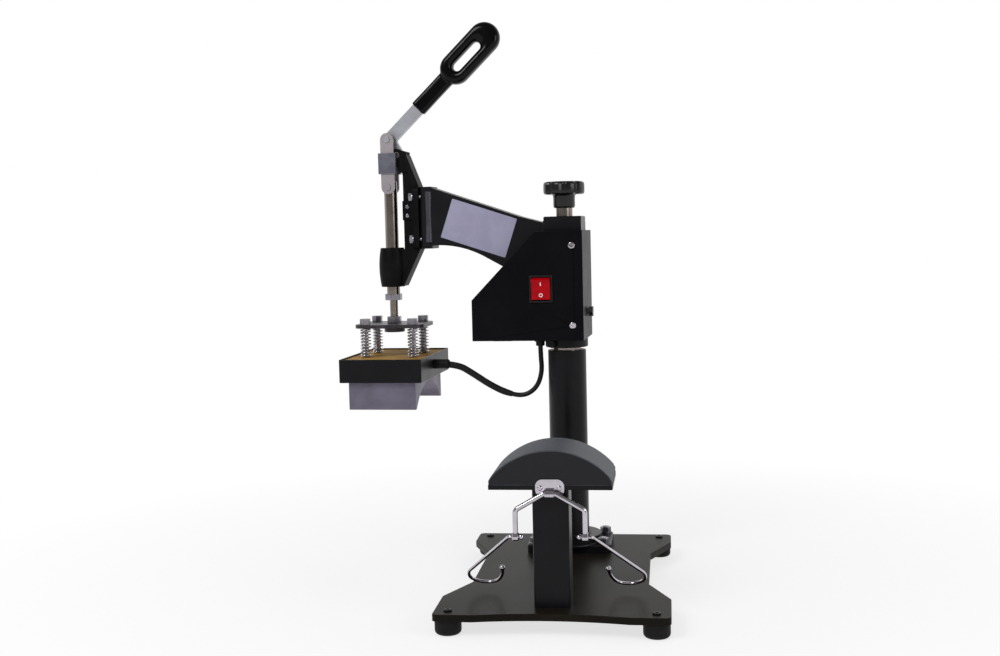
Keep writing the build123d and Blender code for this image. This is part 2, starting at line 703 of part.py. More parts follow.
def locking_collar():
    """A ring under the sleeve, with the bolt that locks the head to the shaft."""
    ring = rod(COLLAR_DIAMETER, COLLAR_BOTTOM, HEAD_BOTTOM)
    ring = chamfer(ring.edges().filter_by(GeomType.CIRCLE), 1.0)
    ring -= rod(SHAFT_DIAMETER + 2 * RUNNING_FIT, COLLAR_BOTTOM, HEAD_BOTTOM)
    start, end = SHAFT_DIAMETER / 2 + 1.0, COLLAR_DIAMETER / 2
    shank = Pos((start + end) / 2, 0, 0) * Rot(0, 90, 0) * Cylinder(COLLAR_BOLT / 2, end - start)
    head = Pos(end, 0, 0) * Rot(0, 90, 0) * extrude(RegularPolygon(5.0, 6, major_radius=False), 6)
    place = Location((0, 0, (COLLAR_BOTTOM + HEAD_BOTTOM) / 2), (0, 0, COLLAR_BOLT_ANGLE))
    bolt = place * (shank + head)
    return group([ring - bolt, bolt])


def sleeve_cap():
    half = SLEEVE_SIDE / 2
    cap = box((-half, half), (-half, half), (SLEEVE_TOP, CAP_TOP))
    cap = fillet(cap.edges().filter_by(Axis.Z), 2.0)
    cap = chamfer(cap.faces().sort_by(Axis.Z)[-1].outer_wire().edges(), 1.0)
    return cap - rod(STEM_DIAMETER + 2 * RUNNING_FIT, SLEEVE_TOP, CAP_TOP)


def swing_bushes():
    side = SLEEVE_SIDE - 2 * SLEEVE_WALL
    tops = (HEAD_BOTTOM + BUSH_HEIGHT, SHAFT_TOP - LIFT_UP)
    bushes = []
    for top in tops:
        block = box((-side / 2, side / 2), (-side / 2, side / 2), (top - BUSH_HEIGHT, top))
        bushes.append(block - rod(SHAFT_DIAMETER + 2 * RUNNING_FIT, top - BUSH_HEIGHT, top))
    return group(bushes)


def side_bolt():
    start = SLEEVE_SIDE / 2 - SLEEVE_WALL
    end = BOX_INNER_END + BOX_WALL
    shank = Pos(0, (start + end) / 2, SIDE_BOLT_LEVEL) * Rot(90, 0, 0) * Cylinder(SIDE_BOLT / 2, end - start)
    head = extrude(RegularPolygon(SIDE_BOLT * 0.8, 6, major_radius=False), SIDE_BOLT_SHANK)
    return shank + Pos(0, end, SIDE_BOLT_LEVEL) * Rot(-90, 0, 0) * head


def thrust_washer():
    ring = rod(THRUST_DIAMETER, THRUST_BOTTOM, SLEEVE_TOP)
    return ring - rod(STEM_DIAMETER + 2 * RUNNING_FIT, THRUST_BOTTOM, SLEEVE_TOP)


def knob_stem():
    stem = rod(STEM_DIAMETER, STEM_BOTTOM, CAP_TOP)
    stem = chamfer(stem.edges().sort_by(Axis.Z)[0], 1.5)
    stem += rod(STEM_SHOULDER, THRUST_BOTTOM - STEM_SHOULDER_HEIGHT, THRUST_BOTTOM)
    return stem + rod(NECK_DIAMETER, CAP_TOP, CAP_TOP + NECK_HEIGHT)


def pressure_knob():
    bottom = CAP_TOP + NECK_HEIGHT
    disc_bottom = bottom + HUB_HEIGHT
    hub = rod(HUB_DIAMETER, bottom, disc_bottom)
    disc = rod(KNOB_DIAMETER, disc_bottom, disc_bottom + KNOB_HEIGHT)
    ring_radius = KNOB_DIAMETER / 2 + KNOB_SCALLOP - KNOB_SCALLOP_DEPTH
    for place in PolarLocations(ring_radius, KNOB_LOBES):
        disc -= place * rod(2 * KNOB_SCALLOP, disc_bottom, disc_bottom + KNOB_HEIGHT)
    rims = disc.faces().filter_by(Axis.Z)
    disc = fillet([e for face in rims for e in face.outer_wire().edges()], 2.0)
    return hub + disc


# ---- Arm
def arm():
    """A welded box arm from the sleeve up to the toggle, with a rounded end piece."""
    root = SLEEVE_SIDE / 2
    half = ARM_WIDTH / 2
    neck = ARM_END - ARM_END_DEPTH
    crest = (ARM_CREST_OUT, ARM_CREST_HEIGHT)
    top = Polyline((root, SLEEVE_TOP), crest, (neck, ARM_END_TOP - 1.5))
    front = Line((neck, ARM_END_TOP - 1.5), (neck, ARM_END_BOTTOM + 4))
    start, end = (neck, ARM_END_BOTTOM + 4), (ARM_BELLY_OUT, ARM_BELLY_HEIGHT)
    belly = ThreePointArc(start, ((start[0] + end[0]) / 2, (start[1] + end[1]) / 2 + ARM_BELLY_RISE), end)
    belly += Line(end, (root, ARM_ROOT_BOTTOM))
    back = Line((root, ARM_ROOT_BOTTOM), (root, SLEEVE_TOP))
    side = make_face((top + front + belly + back).edges())
    hollow = along_x(offset(side, -ARM_WALL), ARM_WALL - half, half - ARM_WALL)
    shell_walls = along_x(side, -half, half) - hollow
    end = box((-half, half), (-ARM_END, -neck), (ARM_END_BOTTOM, ARM_END_TOP))
    end = fillet([e for e in end.edges().filter_by(Axis.Z) if e.center().Y < -neck - 1], ARM_END_ROUND)
    for place in bracket_bolt_places():
        end -= place * Cylinder(BRACKET_BOLT / 2, 2 * ARM_END_DEPTH)
    return shell_walls + end


def bracket_bolt_places():
    """Axes of the four bolts through the bracket flange into the end of the arm."""
    levels = (ARM_END_BOTTOM + BRACKET_BOLT_INSET, ARM_END_TOP - BRACKET_BOLT_INSET)
    return [Location((side * BRACKET_BOLT_SIDE, -ARM_END, level), (90, 0, 0))
            for side in (-1, 1) for level in levels]


def rating_plate():
    half = ARM_WIDTH / 2
    plate = fillet(Rectangle(LABEL_LENGTH, LABEL_HEIGHT).vertices(), 1.5)
    face = Pos(LABEL_OUT, LABEL_LEVEL) * Rot(0, 0, LABEL_TILT) * plate
    return along_x(face, half, half + LABEL_THICKNESS)


# ---- Toggle
def barrel():
    """The guide that the plunger slides in: a cylinder that swells at its middle."""
    middle = (BARREL_BOTTOM + BARREL_TOP) / 2
    side = ThreePointArc((BARREL_END_DIAMETER / 2, BARREL_BOTTOM), (BARREL_DIAMETER / 2, middle),
                         (BARREL_END_DIAMETER / 2, BARREL_TOP))
    rest = Polyline((BARREL_END_DIAMETER / 2, BARREL_TOP), (0, BARREL_TOP), (0, BARREL_BOTTOM),
                    (BARREL_END_DIAMETER / 2, BARREL_BOTTOM))
    profile = Plane.XZ * make_face((side + rest).edges())
    return Pos(0, -REACH, 0) * revolve(profile, Axis.Z)


def guide_bore():
    return ROD_DIAMETER + 2 * GUIDE_BUSH_WALL


def toggle_bracket():
    """One casting: a flange on the arm, a ribbed web, two ears for the lever and the barrel."""
    flange_face = ARM_END + BRACKET_FLANGE
    web_edge = REACH - BARREL_DIAMETER / 2 - 1
    flange = box((-BRACKET_FLANGE_WIDTH / 2, BRACKET_FLANGE_WIDTH / 2), (-flange_face, -ARM_END),
                 (ARM_END_BOTTOM, ARM_END_TOP))
    flange = fillet(flange.edges().filter_by(Axis.Y), 5.0)
    outline = [
        (ARM_END, ARM_END_BOTTOM),
        (ARM_END, ARM_END_TOP),
        (HINGE_OUT - 14, HINGE_LEVEL),
        (HINGE_OUT - 11, HINGE_LEVEL + 2),
        (HINGE_OUT - 6, HINGE_LEVEL - 20),
        (web_edge, HINGE_LEVEL - 28),
        (web_edge, BARREL_TOP - 2),
        (REACH, BARREL_TOP - 2),
        (REACH, BARREL_BOTTOM + 2),
        (REACH - BARREL_DIAMETER / 2, BARREL_BOTTOM + 1),
    ]
    web = side_profile(outline, -BRACKET_WEB / 2, BRACKET_WEB / 2)
    casting = flange + web + barrel()
    casting += side_profile([(ARM_END, ARM_END_TOP), (HINGE_OUT - 14, HINGE_LEVEL), (HINGE_OUT - 11, HINGE_LEVEL - 6),
                             (ARM_END + BRACKET_FLANGE, ARM_END_TOP - 8)], -EAR_OUTER - 3, EAR_OUTER + 3)
    casting += side_profile([(ARM_END, ARM_END_BOTTOM), (REACH - BARREL_DIAMETER / 2, BARREL_BOTTOM + 1),
                             (REACH - BARREL_DIAMETER / 2, BARREL_BOTTOM + 8), (ARM_END + BRACKET_FLANGE,
                              ARM_END_BOTTOM + 4)], -EAR_OUTER - 3, EAR_OUTER + 3)
    casting += box((-BRACKET_WEB / 2 - 2, BRACKET_WEB / 2 + 2), (-web_edge - 1, -flange_face),
                   (STOP_BLOCK_LEVEL - STOP_BLOCK_HEIGHT / 2, STOP_BLOCK_LEVEL + STOP_BLOCK_HEIGHT / 2))
    ear = [
        (HINGE_OUT - 14, HINGE_LEVEL + 4),
        (HINGE_OUT, HINGE_LEVEL + EAR_RADIUS - 0.5),
        (HINGE_OUT + 3, HINGE_LEVEL - EAR_RADIUS),
        (HINGE_OUT - 4, HINGE_LEVEL - 24),
        (HINGE_OUT - 14, HINGE_LEVEL - 24),
    ]
    for side in (-1, 1):
        low, high = sorted((side * EAR_INNER, side * EAR_OUTER))
        casting += side_profile(ear, low, high)
        middle = (low + high) / 2
        casting += pin(2 * EAR_RADIUS, EAR_THICKNESS, middle, -HINGE_OUT, HINGE_LEVEL)
    slot = LEVER_WIDTH / 2 + EAR_GAP
    lever_room = box((-EAR_INNER, EAR_INNER), (-HINGE_OUT - slot, -HINGE_OUT + slot),
                     (HINGE_LEVEL - slot, HINGE_LEVEL + 40))
    casting -= lever_room
    casting -= pin(PIN_DIAMETER, 4 * EAR_OUTER, 0, -HINGE_OUT, HINGE_LEVEL)
    for place in bracket_bolt_places():
        casting -= place * Cylinder(BRACKET_BOLT / 2, 4 * BRACKET_FLANGE)
        casting -= place * Pos(0, 0, 2 * BRACKET_FLANGE) * Cylinder(SPOT_FACE / 2, 2 * BRACKET_FLANGE)
    return casting - rod(guide_bore(), BARREL_BOTTOM, BARREL_TOP, 0, -REACH)


def bracket_bolts():
    length = BRACKET_FLANGE + ARM_END_DEPTH
    bolts = []
    for place in bracket_bolt_places():
        shank = Pos(0, 0, BRACKET_FLANGE - length / 2) * Cylinder(BRACKET_BOLT / 2, length)
        washer = Pos(0, 0, BRACKET_FLANGE + 0.8) * Cylinder(BRACKET_BOLT * 0.9, 1.6)
        head = Pos(0, 0, BRACKET_FLANGE + 1.6) * extrude(RegularPolygon(BRACKET_BOLT_ACROSS / 2, 6, major_radius=False), 4.2)
        bolts.append(place * (shank + washer + head))
    return group(bolts)


def guide_bush():
    bush = rod(guide_bore(), BARREL_BOTTOM, BARREL_TOP, 0, -REACH)
    return bush - rod(ROD_DIAMETER + 2 * RUNNING_FIT, BARREL_BOTTOM, BARREL_TOP, 0, -REACH)


def lever_frame():
    """Plane of the lever bar: its origin is the knee pin, and X runs along the bar."""
    angle = radians(LEVER_ANGLE)
    return Plane(origin=(0, -REACH, KNEE_LEVEL), x_dir=(0, -cos(angle), sin(angle)), z_dir=(1, 0, 0))


def lever_bar():
    """A flat bar from the hinge, over the knee pin, to the inside of the grip."""
    half, thick = LEVER_WIDTH / 2, LEVER_THICKNESS / 2
    bar = lever_frame() * box((0, LEVER_LENGTH), (-half, half), (-thick, thick))
    crank = Vector(0, -HINGE_OUT, HINGE_LEVEL) - Vector(0, -REACH, KNEE_LEVEL)
    web = Plane(origin=(0, -REACH, KNEE_LEVEL), x_dir=crank, z_dir=(1, 0, 0))
    bar += web * box((0, CRANK), (-half, half), (-thick, thick))
    for out, level in ((REACH, KNEE_LEVEL), (HINGE_OUT, HINGE_LEVEL)):
        bar += pin(LEVER_WIDTH, LEVER_THICKNESS, 0, -out, level)
    bar -= pin(PIN_DIAMETER, LEVER_THICKNESS, 0, -REACH, KNEE_LEVEL)
    return bar - pin(PIN_DIAMETER + 2 * PIN_FIT, LEVER_THICKNESS, 0, -HINGE_OUT, HINGE_LEVEL)


def handle_grip():
    """A dipped coating over the bar that ends in a long, thick loop for the hand."""
    neck_end = GRIP_START + GRIP_NECK_LENGTH
    end = neck_end + GRIP_LOOP_LENGTH
    neck = box((GRIP_START, neck_end + GRIP_NECK_OVERLAP), (-GRIP_WIDTH / 2, GRIP_WIDTH / 2),
               (-GRIP_THICKNESS / 2, GRIP_THICKNESS / 2))
    neck = fillet(neck.edges().filter_by(Axis.X), 3.0)
    outline = Pos((neck_end + end) / 2, 0) * SlotOverall(GRIP_LOOP_LENGTH, GRIP_LOOP_WIDTH)
    outline -= Pos(end - GRIP_SLOT_END_INSET - GRIP_SLOT_LENGTH / 2, 0) * SlotOverall(GRIP_SLOT_LENGTH, GRIP_SLOT_WIDTH)
    loop = extrude(outline, GRIP_LOOP_THICKNESS / 2, both=True)
    loop = fillet([e for f in loop.faces().filter_by(Axis.Z) for e in f.edges()], GRIP_ROUND)
    bar = box((0, LEVER_LENGTH), (-LEVER_WIDTH / 2, LEVER_WIDTH / 2), (-LEVER_THICKNESS / 2, LEVER_THICKNESS / 2))
    return lever_frame() * (neck + loop - bar)


def hinge_pin():
    return pin(PIN_DIAMETER, 2 * EAR_OUTER, 0, -HINGE_OUT, HINGE_LEVEL)


def knee_pin():
    return pin(PIN_DIAMETER, 2 * (LINK_OUTER + 1.5), 0, -REACH, KNEE_LEVEL)


def toggle_link():
    """Two plates outside the ears, each with a raised panel and a lower pin boss."""
    end, wide = LINK_END_WIDTH / 2, LINK_WIDTH / 2
    middle = (KNEE_LEVEL + PLUNGER_PIN_LEVEL) / 2
    panel = LINK_PANEL_HEIGHT / 2
    plates = []
    for side in (-1, 1):
        low, high = sorted((side * LINK_INNER, side * LINK_OUTER))
        centre = (low + high) / 2
        plate = side_profile([(REACH - end, PLUNGER_PIN_LEVEL), (REACH - end, KNEE_LEVEL),
                              (REACH + end, KNEE_LEVEL), (REACH + end, PLUNGER_PIN_LEVEL)], low, high)
        plate += pin(LINK_END_WIDTH, LINK_PLATE, centre, -REACH, KNEE_LEVEL)
        plate += pin(LINK_END_WIDTH, LINK_PLATE, centre, -REACH, PLUNGER_PIN_LEVEL)
        face = sorted((side * LINK_INNER, side * (LINK_OUTER + LINK_PANEL)))
        plate += box(face, (-REACH - wide, -REACH + wide), (middle - panel, middle + panel))
        cap = sorted((side * LINK_OUTER, side * (LINK_OUTER + 1.5)))
        plate += pin(PIN_DIAMETER, cap[1] - cap[0], sum(cap) / 2, -REACH, PLUNGER_PIN_LEVEL)
        plates.append(plate - pin(PIN_DIAMETER + 2 * PIN_FIT, 4 * LINK_OUTER, 0, -REACH, KNEE_LEVEL))
    return group(plates)


def plunger_rod():
    """The sliding rod, turned down below its shoulder to a threaded stud."""
    top = PLUNGER_PIN_LEVEL + ROD_DIAMETER / 2
    shaft = rod(ROD_DIAMETER, ROD_FOOT_BOTTOM, top, 0, -REACH)
    shaft = fillet(shaft.edges().sort_by(Axis.Z)[-1], 3.0)
    shaft += rod(STUD_DIAMETER, SPIDER_BOTTOM - SPIDER_HUB_HEIGHT, ROD_FOOT_BOTTOM, 0, -REACH)
    return shaft - pin(PIN_DIAMETER, 2 * ROD_DIAMETER, 0, -REACH, PLUNGER_PIN_LEVEL)


def plunger_pin():
    return pin(PIN_DIAMETER, ROD_DIAMETER, 0, -REACH, PLUNGER_PIN_LEVEL)


def plunger_nuts():
    upper = hexagon(UPPER_NUT_ACROSS, ROD_FOOT_BOTTOM - UPPER_NUT_HEIGHT, ROD_FOOT_BOTTOM, 0, -REACH)
    lower = hexagon(LOWER_NUT_ACROSS, SPIDER_TOP, SPIDER_TOP + LOWER_NUT_HEIGHT, 0, -REACH)
    stud = rod(STUD_DIAMETER, SPIDER_BOTTOM, ROD_FOOT_BOTTOM, 0, -REACH)
    return group([upper - stud, lower - stud])


def guide_bolt_places():
    return [(sx * GUIDE_BOLT_SIDE, -REACH + sy * GUIDE_BOLT_OUT) for sx in (-1, 1) for sy in (-1, 1)]


def spider_plate():
    half = SPIDER_WIDTH / 2
    plate = box((-half, half), (-REACH - SPIDER_LENGTH / 2, -REACH + SPIDER_LENGTH / 2), (SPIDER_BOTTOM, SPIDER_TOP))
    plate = fillet(plate.edges().filter_by(Axis.Z), SPIDER_ROUND)
    plate += rod(SPIDER_HUB_DIAMETER, SPIDER_BOTTOM - SPIDER_HUB_HEIGHT, SPIDER_BOTTOM, 0, -REACH)
    plate -= rod(STUD_DIAMETER, SPIDER_BOTTOM - SPIDER_HUB_HEIGHT, SPIDER_TOP, 0, -REACH)
    for x, y in guide_bolt_places():
        plate -= rod(GUIDE_BOLT + GUIDE_HOLE_CLEARANCE, SPIDER_BOTTOM, SPIDER_TOP, x, y)
    return plate


# ---- Heated platen
def guide_bolts():
    bottom = BLOCK_TOP - GUIDE_BOLT_DEPTH
    bolts = []
    for x, y in guide_bolt_places():
        bolt = rod(GUIDE_BOLT, bottom, SPIDER_TOP, x, y)
        bolt += hexagon(GUIDE_BOLT * 1.6, SPIDER_TOP, SPIDER_TOP + GUIDE_BOLT_HEAD, x, y)
        bolts.append(bolt)
    return group(bolts)


def pressure_springs():
    """Four compression springs between the insulation board and the spider plate."""
    low, high = BOARD_TOP + SOFT_GAP, SPIDER_BOTTOM - SOFT_GAP
    radius = (SPRING_DIAMETER - SPRING_WIRE) / 2
    height = high - low - SPRING_WIRE
    coil = Helix(pitch=height / SPRING_TURNS, height=height, radius=radius)
    start = Plane(origin=coil @ 0, z_dir=coil % 0)
    wire = sweep(start * Circle(SPRING_WIRE / 2), path=coil)
    return group([Pos(x, y, low + SPRING_WIRE / 2) * wire for x, y in guide_bolt_places()])


def bolt_holes(bottom, top):
    holes = [rod(GUIDE_BOLT, bottom, top, x, y) for x, y in guide_bolt_places()]
    return Compound(children=holes)


def cover_range(inset):
    return ((-COVER_WIDTH / 2 + inset, COVER_WIDTH / 2 - inset),
            (-REACH - COVER_LENGTH / 2 + inset, -REACH + COVER_LENGTH / 2 - inset))


def platen_cover():
    """A frame around the top of the block, with a floor that the block passes through."""
    x_range, y_range = cover_range(0)
    frame = box(x_range, y_range, (COVER_BOTTOM, COVER_TOP))
    frame = fillet(frame.edges().filter_by(Axis.Z), 2.5)
    frame = fillet(frame.faces().sort_by(Axis.Z)[0].edges(), 1.0)
    x_inner, y_inner = cover_range(COVER_WALL)
    frame -= box(x_inner, y_inner, (COVER_BOTTOM + COVER_WALL, COVER_TOP))
    half_w, half_l = BLOCK_WIDTH / 2, BLOCK_LENGTH / 2
    frame -= box((-half_w, half_w), (-REACH - half_l, -REACH + half_l), (COVER_BOTTOM, COVER_TOP))
    return frame - platen_gland_bore()


def platen_gland_bore():
    depth = COVER_WALL + PLATEN_GLAND_LENGTH
    hole = Rot(90, 0, 0) * Cylinder(PLATEN_GLAND_DIAMETER / 2 - 2, depth)
    return Pos(0, -REACH + COVER_LENGTH / 2, PLATEN_GLAND_LEVEL) * hole


def insulation_board():
    x_range, y_range = cover_range(COVER_WALL)
    board = box(x_range, y_range, (BOARD_BOTTOM, BOARD_TOP))
    board -= platen_gland_bore()
    return board - bolt_holes(BOARD_BOTTOM, BOARD_TOP)


def heating_block():
    """The aluminium block, hollowed to match the lower pad when it is closed and screwed fully down."""
    half_w, half_l = BLOCK_WIDTH / 2, BLOCK_LENGTH / 2
    block = box((-half_w, half_w), (-REACH - half_l, -REACH + half_l), (BLOCK_BOTTOM, BLOCK_TOP))
    block = chamfer(block.edges().filter_by(Axis.Z), 0.8)
    radius = PAD_RADIUS + BLOCK_GAP
    block -= Pos(0, -REACH, BLOCK_APEX - radius) * Rot(90, 0, 0) * Cylinder(radius, BLOCK_LENGTH)
    return block - bolt_holes(BLOCK_TOP - GUIDE_BOLT_DEPTH, BLOCK_TOP)


def heating_element():
    half_w, half_l = BLOCK_WIDTH / 2 - HEATER_MARGIN, BLOCK_LENGTH / 2 - HEATER_MARGIN
    heater = box((-half_w, half_w), (-REACH - half_l, -REACH + half_l), (BLOCK_TOP, BOARD_BOTTOM))
    return heater - bolt_holes(BLOCK_TOP, BOARD_BOTTOM)


def platen_gland():
    """The sleeve that leads the heater cable out of the cover."""
    wall = -REACH + COVER_LENGTH / 2
    end = wall + PLATEN_GLAND_LENGTH
    neck = PLATEN_GLAND_DIAMETER - 4
    body = Pos(0, (wall + end) / 2, PLATEN_GLAND_LEVEL) * Rot(90, 0, 0) * Cylinder(PLATEN_GLAND_DIAMETER / 2, end - wall)
    body = fillet(body.edges().sort_by(Axis.Y)[-1], 2.5)
    shank = Pos(0, wall - COVER_WALL / 2, PLATEN_GLAND_LEVEL) * Rot(90, 0, 0) * Cylinder(neck / 2, COVER_WALL)
    bore = Pos(0, (wall + end) / 2, PLATEN_GLAND_LEVEL) * Rot(90, 0, 0) * Cylinder(CABLE_DIAMETER / 2, end - wall)
    return body + shank - bore


# ---- Control box
def box_outline():
    """The side of the box: (outward, height), with its upper outer corner cut away."""
    return [
        (-BOX_INNER_END, HEAD_BOTTOM),
        (-BOX_INNER_END, BOX_TOP),
        (BOX_CORNER_OUT, BOX_TOP),
        (BOX_OUTER_END, BOX_CORNER_HEIGHT),
        (BOX_OUTER_END, HEAD_BOTTOM),
    ]


def shell(inset, low, high):
    profile = make_face(Polyline(*box_outline(), close=True).edges())
    if inset:
        profile = offset(profile, -inset, kind=Kind.INTERSECTION)
    return along_x(profile, low, high)


def passages():
    """What passes through the box walls: the sleeve, the arm and the side bolt."""
    gap = OPENING_CLEARANCE
    sleeve = SLEEVE_SIDE / 2 + gap
    room = box((-sleeve, sleeve), (-sleeve, sleeve), (HEAD_BOTTOM - 1, BOX_TOP + 1))
    half = ARM_WIDTH / 2 + gap
    arm_room = side_profile([(0, ARM_ROOT_BOTTOM - 4), (0, BOX_TOP + 20), (ARM_BELLY_OUT, BOX_TOP + 20),
                             (ARM_BELLY_OUT, ARM_BELLY_HEIGHT - 8)], -half, half)
    return room + arm_room + side_bolt_hole()


def half_box(low, high, wall_low, wall_high):
    outside = shell(0, low, high)
    outside -= shell(BOX_WALL, wall_low, wall_high)
    return outside - passages()


def rect_hole(out, level, width, height, x_low, x_high):
    return box((x_low, x_high), (-out - width / 2, -out + width / 2), (level - height / 2, level + height / 2))


def box_screw_places():
    return [(BOX_SCREW_OUT, level) for level in BOX_SCREW_LEVELS]


def housing_front_cover():
    cover = half_box(0, BOX_FRONT, -1, BOX_FRONT - BOX_WALL)
    inner = SWITCH_WIDTH - 2 * SWITCH_RIM + 2
    tall = SWITCH_HEIGHT - 2 * SWITCH_RIM + 2
    cover -= rect_hole(SWITCH_OUT, SWITCH_LEVEL, inner, tall, BOX_FRONT - 5, BOX_FRONT + 5)
    for out, level in box_screw_places():
        cover -= pin(BOX_SCREW, 10, BOX_FRONT, -out, level)
    return cover - underside_holes()


def housing_rear_cover():
    cover = half_box(-BOX_BACK, 0, -BOX_BACK + BOX_WALL, 1)
    cover -= rect_hole(PANEL_OUT, PANEL_LEVEL, PANEL_BODY_WIDTH, PANEL_BODY_HEIGHT, -BOX_BACK - 5, -BOX_BACK + 5)
    for out, level in box_screw_places():
        cover -= pin(BOX_SCREW, 10, -BOX_BACK, -out, level)
    return cover - underside_holes()


def underside_holes():
    """Openings in the floor of the box for the mains inlet and the heater cable's gland."""
    inlet = box((-INLET_LENGTH / 2 + 3, INLET_LENGTH / 2 - 3), (-INLET_OUT - INLET_WIDTH / 2 + 3,
                -INLET_OUT + INLET_WIDTH / 2 - 3), (HEAD_BOTTOM - 1, HEAD_BOTTOM + BOX_WALL + 1))
    return inlet + rod(GLAND_ACROSS - 4, HEAD_BOTTOM - 1, HEAD_BOTTOM + BOX_WALL + 1, 0, -GLAND_OUT)


def housing_screws():
    screws = []
    for out, level in box_screw_places():
        for side, face in ((1, BOX_FRONT), (-1, -BOX_BACK)):
            shank = pin(BOX_SCREW, BOX_SCREW_LENGTH, face - side * BOX_SCREW_LENGTH / 2, -out, level)
            head = pin(BOX_SCREW * 1.8, 2.6, face + side * 1.3, -out, level)
            outer_edge = head.edges().filter_by(GeomType.CIRCLE).sort_by(Axis.X)[0 if side < 0 else -1]
            head = fillet(outer_edge, 1.2)
            cross = (box((face + side * 1.4 - 2, face + side * 1.4 + 2), (-out - 2.2, -out + 2.2), (level - 0.5, level + 0.5))
                     + box((face + side * 1.4 - 2, face + side * 1.4 + 2), (-out - 0.5, -out + 0.5), (level - 2.2, level + 2.2)))
            cross &= box(sorted((face + side * 1.2, face + side * 4)), (-out - 3, -out + 3), (level - 3, level + 3))
            screws.append(shank + head - cross)
    return group(screws)


def switch_bezel():
    """The frame and body of the rocker switch, with a well for the rocker."""
    flange = rect_hole(SWITCH_OUT, SWITCH_LEVEL, SWITCH_WIDTH, SWITCH_HEIGHT, BOX_FRONT, BOX_FRONT + SWITCH_FLANGE)
    flange = fillet(flange.faces().sort_by(Axis.X)[-1].outer_wire().edges(), 1.0)
    width, height = SWITCH_WIDTH - 2 * SWITCH_RIM + 2, SWITCH_HEIGHT - 2 * SWITCH_RIM + 2
    body = rect_hole(SWITCH_OUT, SWITCH_LEVEL, width, height, BOX_FRONT - SWITCH_BODY_DEPTH, BOX_FRONT)
    well = rect_hole(SWITCH_OUT, SWITCH_LEVEL, SWITCH_WIDTH - 2 * SWITCH_RIM, SWITCH_HEIGHT - 2 * SWITCH_RIM,
                     BOX_FRONT - ROCKER_DEPTH - 3, BOX_FRONT + SWITCH_FLANGE)
    return flange + body - well


def rocker_axis():
    """Where the rocker turns: just behind the face of the box, along the arm."""
    return BOX_FRONT - 2.0


def switch_rocker():
    """A rocker tipped towards its lower half, whose face is a shallow V."""
    half = (SWITCH_HEIGHT - 2 * SWITCH_RIM) / 2 - ROCKER_GAP
    face = BOX_FRONT + SWITCH_FLANGE + ROCKER_RISE - rocker_axis()
    back = -ROCKER_DEPTH + 3
    tip = sqrt(half ** 2 - (face - 1.5) ** 2)
    profile = Polyline((face - 3.2, 0), (face - 1.5, tip), (0, half), (back, half - 3), (back, 3 - half), (0, -half),
                       (face - 1.5, -tip), close=True)
    width = SWITCH_WIDTH - 2 * SWITCH_RIM - 2 * ROCKER_GAP
    rocker = extrude(Plane.XZ * make_face(profile.edges()), width / 2, both=True)
    rocker = Rot(0, ROCKER_TILT, 0) * rocker
    rocker += Rot(90, 0, 0) * Cylinder(1.5, width + 2 * ROCKER_GAP)
    return Pos(rocker_axis(), -SWITCH_OUT, SWITCH_LEVEL) * rocker


def button_places():
    """Sideways order of the three keys, as distance out along the arm."""
    return [PANEL_OUT + i * BUTTON_SPACING for i in (-1, 0, 1)]


def panel_back():
    return -BOX_BACK + PANEL_BODY_DEPTH


def controller_body():
    """The panel and case of the temperature and time controller, with wells for its keys."""
    front = -BOX_BACK - PANEL_FLANGE
    panel = rect_hole(PANEL_OUT, PANEL_LEVEL, PANEL_WIDTH, PANEL_HEIGHT, front, -BOX_BACK)
    panel = fillet(panel.faces().sort_by(Axis.X)[0].outer_wire().edges(), 1.5)
    case = rect_hole(PANEL_OUT, PANEL_LEVEL, PANEL_BODY_WIDTH, PANEL_BODY_HEIGHT, -BOX_BACK, panel_back())
    body = panel + case
    body -= rect_hole(PANEL_OUT, PANEL_LEVEL + WINDOW_RISE, WINDOW_WIDTH, WINDOW_HEIGHT, front, front + WINDOW_THICKNESS)
    for out in button_places():
        body -= key_shape(out, BUTTON_FIT, BUTTON_TRAVEL + 0.5)
    return body


def key_shape(out, gap, extra):
    """A round key, as solid or, with a gap and some extra depth, as its well."""
    front = -BOX_BACK - PANEL_FLANGE - BUTTON_PROUD
    length = BUTTON_LENGTH + extra
    return pin(BUTTON_DIAMETER + 2 * gap, length, front + length / 2, -out, PANEL_LEVEL - BUTTON_DROP)


def key(out):
    cap = key_shape(out, 0, 0)
    return fillet(cap.edges().filter_by(GeomType.CIRCLE).sort_by(Axis.X)[0], 0.8)


def display_window():
    front = -BOX_BACK - PANEL_FLANGE
    return rect_hole(PANEL_OUT, PANEL_LEVEL + WINDOW_RISE, WINDOW_WIDTH, WINDOW_HEIGHT, front, front + WINDOW_THICKNESS)


def control_board():
    """A circuit board on the back of the controller, with a relay and a terminal block."""
    back = panel_back()
    board = rect_hole(PANEL_OUT, PANEL_LEVEL, BOARD_WIDTH, BOARD_HEIGHT, back, back + CIRCUIT_BOARD)
    face = back + CIRCUIT_BOARD
    relay = rect_hole(PANEL_OUT - 8, PANEL_LEVEL + 12, 28, 20, face, face + 16)
    terminals = rect_hole(PANEL_OUT + 10, PANEL_LEVEL - 14, 12, 24, face, face + 12)
    return group([board, relay, terminals])


